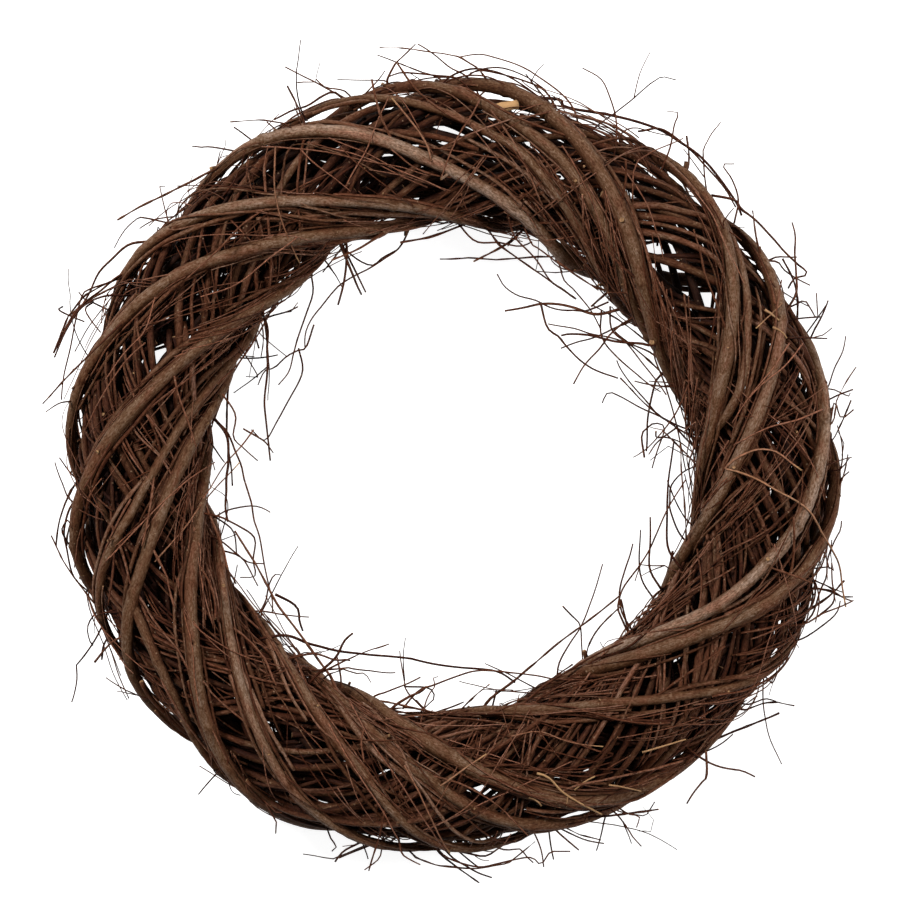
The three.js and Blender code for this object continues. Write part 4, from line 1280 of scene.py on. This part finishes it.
# how far under the ring's skin a point is, in mm
def depthAt(points):
    way = np.arctan2(points[:, 1], points[:, 0])
    across = (np.hypot(points[:, 0], points[:, 1]) - ringRadius - lobesAt(way)) / halfWidth
    up = (points[:, 2] - centreHeight) / halfDepth
    return (1 - np.hypot(across, up)) * halfDepth


# painted shade: how much darker the bark is painted under the skin and at a rod's sides, where shade falls
def paintedShadeOf(corners, middles):
    top, bottom = barkLook["fadeDepth"]
    deep = np.clip((depthAt(corners * 1000) - top) / (bottom - top), 0, 1)
    facing = corners - middles
    facing = (facing * outwardAt(middles * 1000)).sum(1) / np.linalg.norm(facing, axis=1)
    return 1 - (1 - deep) * (1 - barkLook["fadeAside"] * np.clip(1 - facing, 0, 1))


# a bevelled curve through each strand, made a mesh
def meshThrough(name, strands, sides):
    curve = bpy.data.curves.new(name, "CURVE")
    curve.dimensions = "3D"
    curve.bevel_depth = 0.001
    curve.bevel_resolution = (sides - 4) // 2  # a bevel starts with four sides
    for strand in strands:
        count = len(strand["points"])
        spline = curve.splines.new("POLY")
        spline.points.add(count - 1)
        spline.points.foreach_set("co", np.column_stack([strand["points"] / 1000, np.ones(count)]).ravel())
        spline.points.foreach_set("radius", strand["radii"])
    piece = bpy.data.objects.new(name, curve)
    bpy.context.scene.collection.objects.link(piece)
    bpy.ops.object.select_all(action="DESELECT")
    piece.select_set(True)
    bpy.context.view_layer.objects.active = piece
    bpy.ops.object.convert(target="MESH")
    return bpy.context.object


# swells the buds and gives the mesh what the bark's nodes read
def markMesh(mesh, strands):
    rings = sum(len(s["points"]) for s in strands)
    sides = len(mesh.vertices) // rings
    turn = np.arange(sides) / sides * 2 * math.pi
    marks = {"tone": [], "young": [], "pale": [], "bud": [], "swell": []}
    for strand in strands:
        run = strand["run"]
        pale = np.full(len(run), strand["pale"])
        if strand["tipPale"]:
            tip = (run - run[-1]) / strand["tipPale"] + barkLook["tipFade"]
            pale = np.maximum(pale, np.clip(tip, 0, 1))
        bud, ringMark = np.zeros((len(run), sides)), np.zeros((len(run), 1))
        for at, side in strand["buds"]:
            width = strandLook["budWidth"][0] * strand["radii"].mean() + strandLook["budWidth"][1]
            near = np.exp(-(((run - at) / width) ** 2))
            bud += np.outer(near, np.clip(np.cos(turn - side), 0, 1) ** 2)
            ringMark[:, 0] += near * barkLook["budRing"]
        for key in ("tone", "young"):
            marks[key].append(np.full(len(run) * sides, strand[key]))
        marks["pale"].append(np.repeat(pale, sides))
        marks["bud"].append(np.minimum(np.maximum(bud, ringMark), 1).ravel())
        marks["swell"].append(np.minimum(bud, 1).ravel())
    marks = {key: np.concatenate(parts) for key, parts in marks.items()}
    middles = np.repeat(np.concatenate([s["points"] for s in strands]), sides, axis=0) / 1000
    swell = 1 + strandLook["budSwell"] * marks.pop("swell")[:, None]
    corners = middles + (cornersOf(mesh) - middles) * swell
    mesh.vertices.foreach_set("co", corners.ravel())
    # the painted shade, kept for the bark's nodes
    marks["deep"] = paintedShadeOf(corners, middles)
    for key, mark in marks.items():
        mesh.attributes.new(key, "FLOAT", "POINT").data.foreach_set("value", mark)
    # the grain is each rod's own space, straightened, in metres
    along = np.concatenate([s["run"] / 1000 + barkLook["grainShift"] * s["tone"] for s in strands])
    girth = np.repeat(np.concatenate([s["radii"] for s in strands]), sides) / 1000
    turns = np.tile(turn, rings)
    grain = np.column_stack([np.repeat(along, sides), girth * np.cos(turns), girth * np.sin(turns)])
    mesh.attributes.new("grain", "FLOAT_VECTOR", "POINT").data.foreach_set("vector", grain.ravel())


# the cut ends are flat faces, marked for the bark's nodes
def closeCuts(mesh):
    around = len(mesh.polygons)
    bpy.ops.object.mode_set(mode="EDIT")
    bpy.ops.mesh.select_all(action="SELECT")
    bpy.ops.mesh.fill_holes(sides=0)
    bpy.ops.mesh.normals_make_consistent(inside=False)
    bpy.ops.object.mode_set(mode="OBJECT")
    cuts = np.arange(len(mesh.polygons)) >= around
    mesh.attributes.new("cutEnd", "FLOAT", "FACE").data.foreach_set("value", cuts.astype(np.float32))
    mesh.polygons.foreach_set("use_smooth", ~cuts)


def addLumps(piece, size, height):
    bpy.ops.object.modifier_add(type="DISPLACE")
    texture = bpy.data.textures.new(piece.name + "_lumps", "CLOUDS")
    texture.noise_scale = size / 1000
    piece.modifiers[-1].texture = texture
    piece.modifiers[-1].strength = height / 1000
    bpy.ops.object.modifier_apply(modifier=piece.modifiers[-1].name)


fewestRings = 4  # a strand that the frame's box leaves fewer of is left out


# turns strands into one piece, which takes a node's place or is added to the frame
def pieceFrom(name, strands, sides, slot, node=None, lumps=None):
    if not node:
        strands = [s for s in map(cutToBox, strands) if len(s["run"]) >= fewestRings]
    piece = meshThrough(name, strands, sides)
    mesh = piece.data
    markMesh(mesh, strands)
    closeCuts(mesh)
    if lumps:
        addLumps(piece, **lumps)
    # what rests on the table is flat there, as in the frame, and nothing stands out of the frame's box
    mesh.vertices.foreach_set("co", np.clip(cornersOf(mesh), *cadBox).ravel())
    mesh.update()
    mesh.materials.clear()
    mesh.materials.append(barks[slot])
    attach(piece, "root")
    if node:
        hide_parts(node)
    return len(mesh.loops) - 2 * len(mesh.polygons)


pieceLook = {
    "binding_rod": {"sides": 16, "lumps": {"size": 7, "height": 0.9}},
    "weaver_rod": {"sides": 12, "lumps": {"size": 5, "height": 0.5}},
    "inner_rod": {"sides": 10},
    "core_rod": {"sides": 8},
}
made = {}
for rod in rods:
    layer, name = rod["layer"], rod["name"]
    look = pieceLook[layer["name"]]
    made[name] = pieceFrom("willow_" + name, rod["strands"], look["sides"], layer["slot"], name,
                           look.get("lumps"))
print("rods dressed,", sum(made.values()), "triangles")

for name, look in twigs.items():
    look = {**twigLook, **look}
    strands = walkTwigs(look, np.random.default_rng(look["seed"]))
    made[name] = pieceFrom(name, strands, look["sides"], look["slot"])
    print(name, made[name], "triangles")

rng = np.random.default_rng(edgeLook["seed"])
added = {
    "edge_shoots": (edgeLook, [edgeShoot(*shoot, rng) for shoot in edgeShoots]),
    "front_shoots": (frontLook, [frontShoot(*shoot, frontLook, rng) for shoot in frontShoots]),
    "band_rods": (bandLook, [frontShoot(*shoot, bandLook, rng) for shoot in bandRods]),
}
rng = np.random.default_rng(companionLook["seed"])
bindingStrands = [rod["strands"][0] for rod in rods if rod["layer"] is bindings]
added["binding_companions"] = (companionLook, [c for s in bindingStrands for c in companionsOf(s, rng)])
added["stray_twigs"] = (strayLook, strayTwigs(np.random.default_rng(strayLook["seed"])))
for name, (look, strands) in added.items():
    made[name] = pieceFrom(name, strands, look["sides"], look["slot"], lumps=look.get("lumps"))
print("added pieces done,", sum(made.values()), "triangles in all")

# a pale floor and soft studio light from above, with the camera straight over the wreath as in the photograph
studio = {
    "floor": "a6a6a5",
    "floorSize": 16.0,
    "floorGlow": 0.93,
    "floorGrain": {"Scale": 900, "Detail": 2},
    "floorRelief": {"Distance": 0.0001, "Strength": 0.2},
    "floorMatt": {"Roughness": 0.9, "Specular IOR Level": 0.1},
    "softboxes": {  # place in metres, watts
        "key_softbox": ((-1.25, 1.1, 1.7), 100),
        "right_softbox": ((1.7, 0.3, 1.5), 58),
        "top_softbox": ((0.0, 0.3, 2.6), 6),
    },
    "softboxSize": 0.6,
    "lightAim": (0, 0, 0.04),
    "worldLight": 0.04,
    "cameraDistance": 2.6,
    "cameraHeightAt": 0.043,
    "aim": (0.0, 0.0119),
    "frameWidth": 0.5796,
    "sensor": 36,
    "farthest": 20,
}
white = (1, 1, 1, 1)
bpy.ops.mesh.primitive_plane_add(size=studio["floorSize"], location=(0, 0, 0))
floor = bpy.context.object
floor.name = "floor"
paint = bpy.data.materials.new("matt_white_paint")
paint.use_nodes = True
tree = paint.node_tree
tree.nodes.clear()
place = addNode(tree, "TexCoord", {}, "Object")
rolled = addNode(tree, "TexNoise", {"Vector": place, **studio["floorGrain"]})
rolled = addNode(tree, "Bump", {"Height": rolled, **studio["floorRelief"]})
matt = addNode(tree, "BsdfPrincipled", {"Base Color": linear(studio["floor"]), "Normal": rolled,
                                        "Emission Color": white, "Emission Strength": studio["floorGlow"],
                                        **studio["floorMatt"]})
addNode(tree, "OutputMaterial", {"Surface": matt})
floor.data.materials.append(paint)

for name, (place, power) in studio["softboxes"].items():
    lamp = bpy.data.lights.new(name, "AREA")
    lamp.shape, lamp.size, lamp.energy = "DISK", studio["softboxSize"], power
    softbox = bpy.data.objects.new(name, lamp)
    softbox.location = place
    softbox.rotation_euler = (Vector(studio["lightAim"]) - Vector(place)).to_track_quat("-Z", "Y").to_euler()
    softbox.visible_camera = False
    bpy.context.scene.collection.objects.link(softbox)
world = bpy.data.worlds.new("white_studio")
bpy.context.scene.world = world
world.use_nodes = True
tree = world.node_tree
tree.nodes.clear()
# the studio's white wall is bright to the camera and lights the wreath only a little
wall = addNode(tree, "LightPath", {}, "Is Camera Ray")
wall = addNode(tree, "MapRange", {"Value": wall, "To Min": studio["worldLight"], "To Max": 1.0})
wall = addNode(tree, "Background", {"Color": white, "Strength": wall})
addNode(tree, "OutputWorld", {"Surface": wall})
bpy.context.scene.view_settings.view_transform = "Standard"

lens = bpy.data.cameras.new("front_view")
lens.sensor_width = studio["sensor"]
lens.lens = studio["sensor"] * studio["cameraDistance"] / studio["frameWidth"]
lens.clip_end = studio["farthest"]
camera = bpy.data.objects.new("front_view", lens)
camera.location = (*studio["aim"], studio["cameraHeightAt"] + studio["cameraDistance"])
bpy.context.scene.collection.objects.link(camera)
bpy.context.scene.camera = camera
print("studio ready")
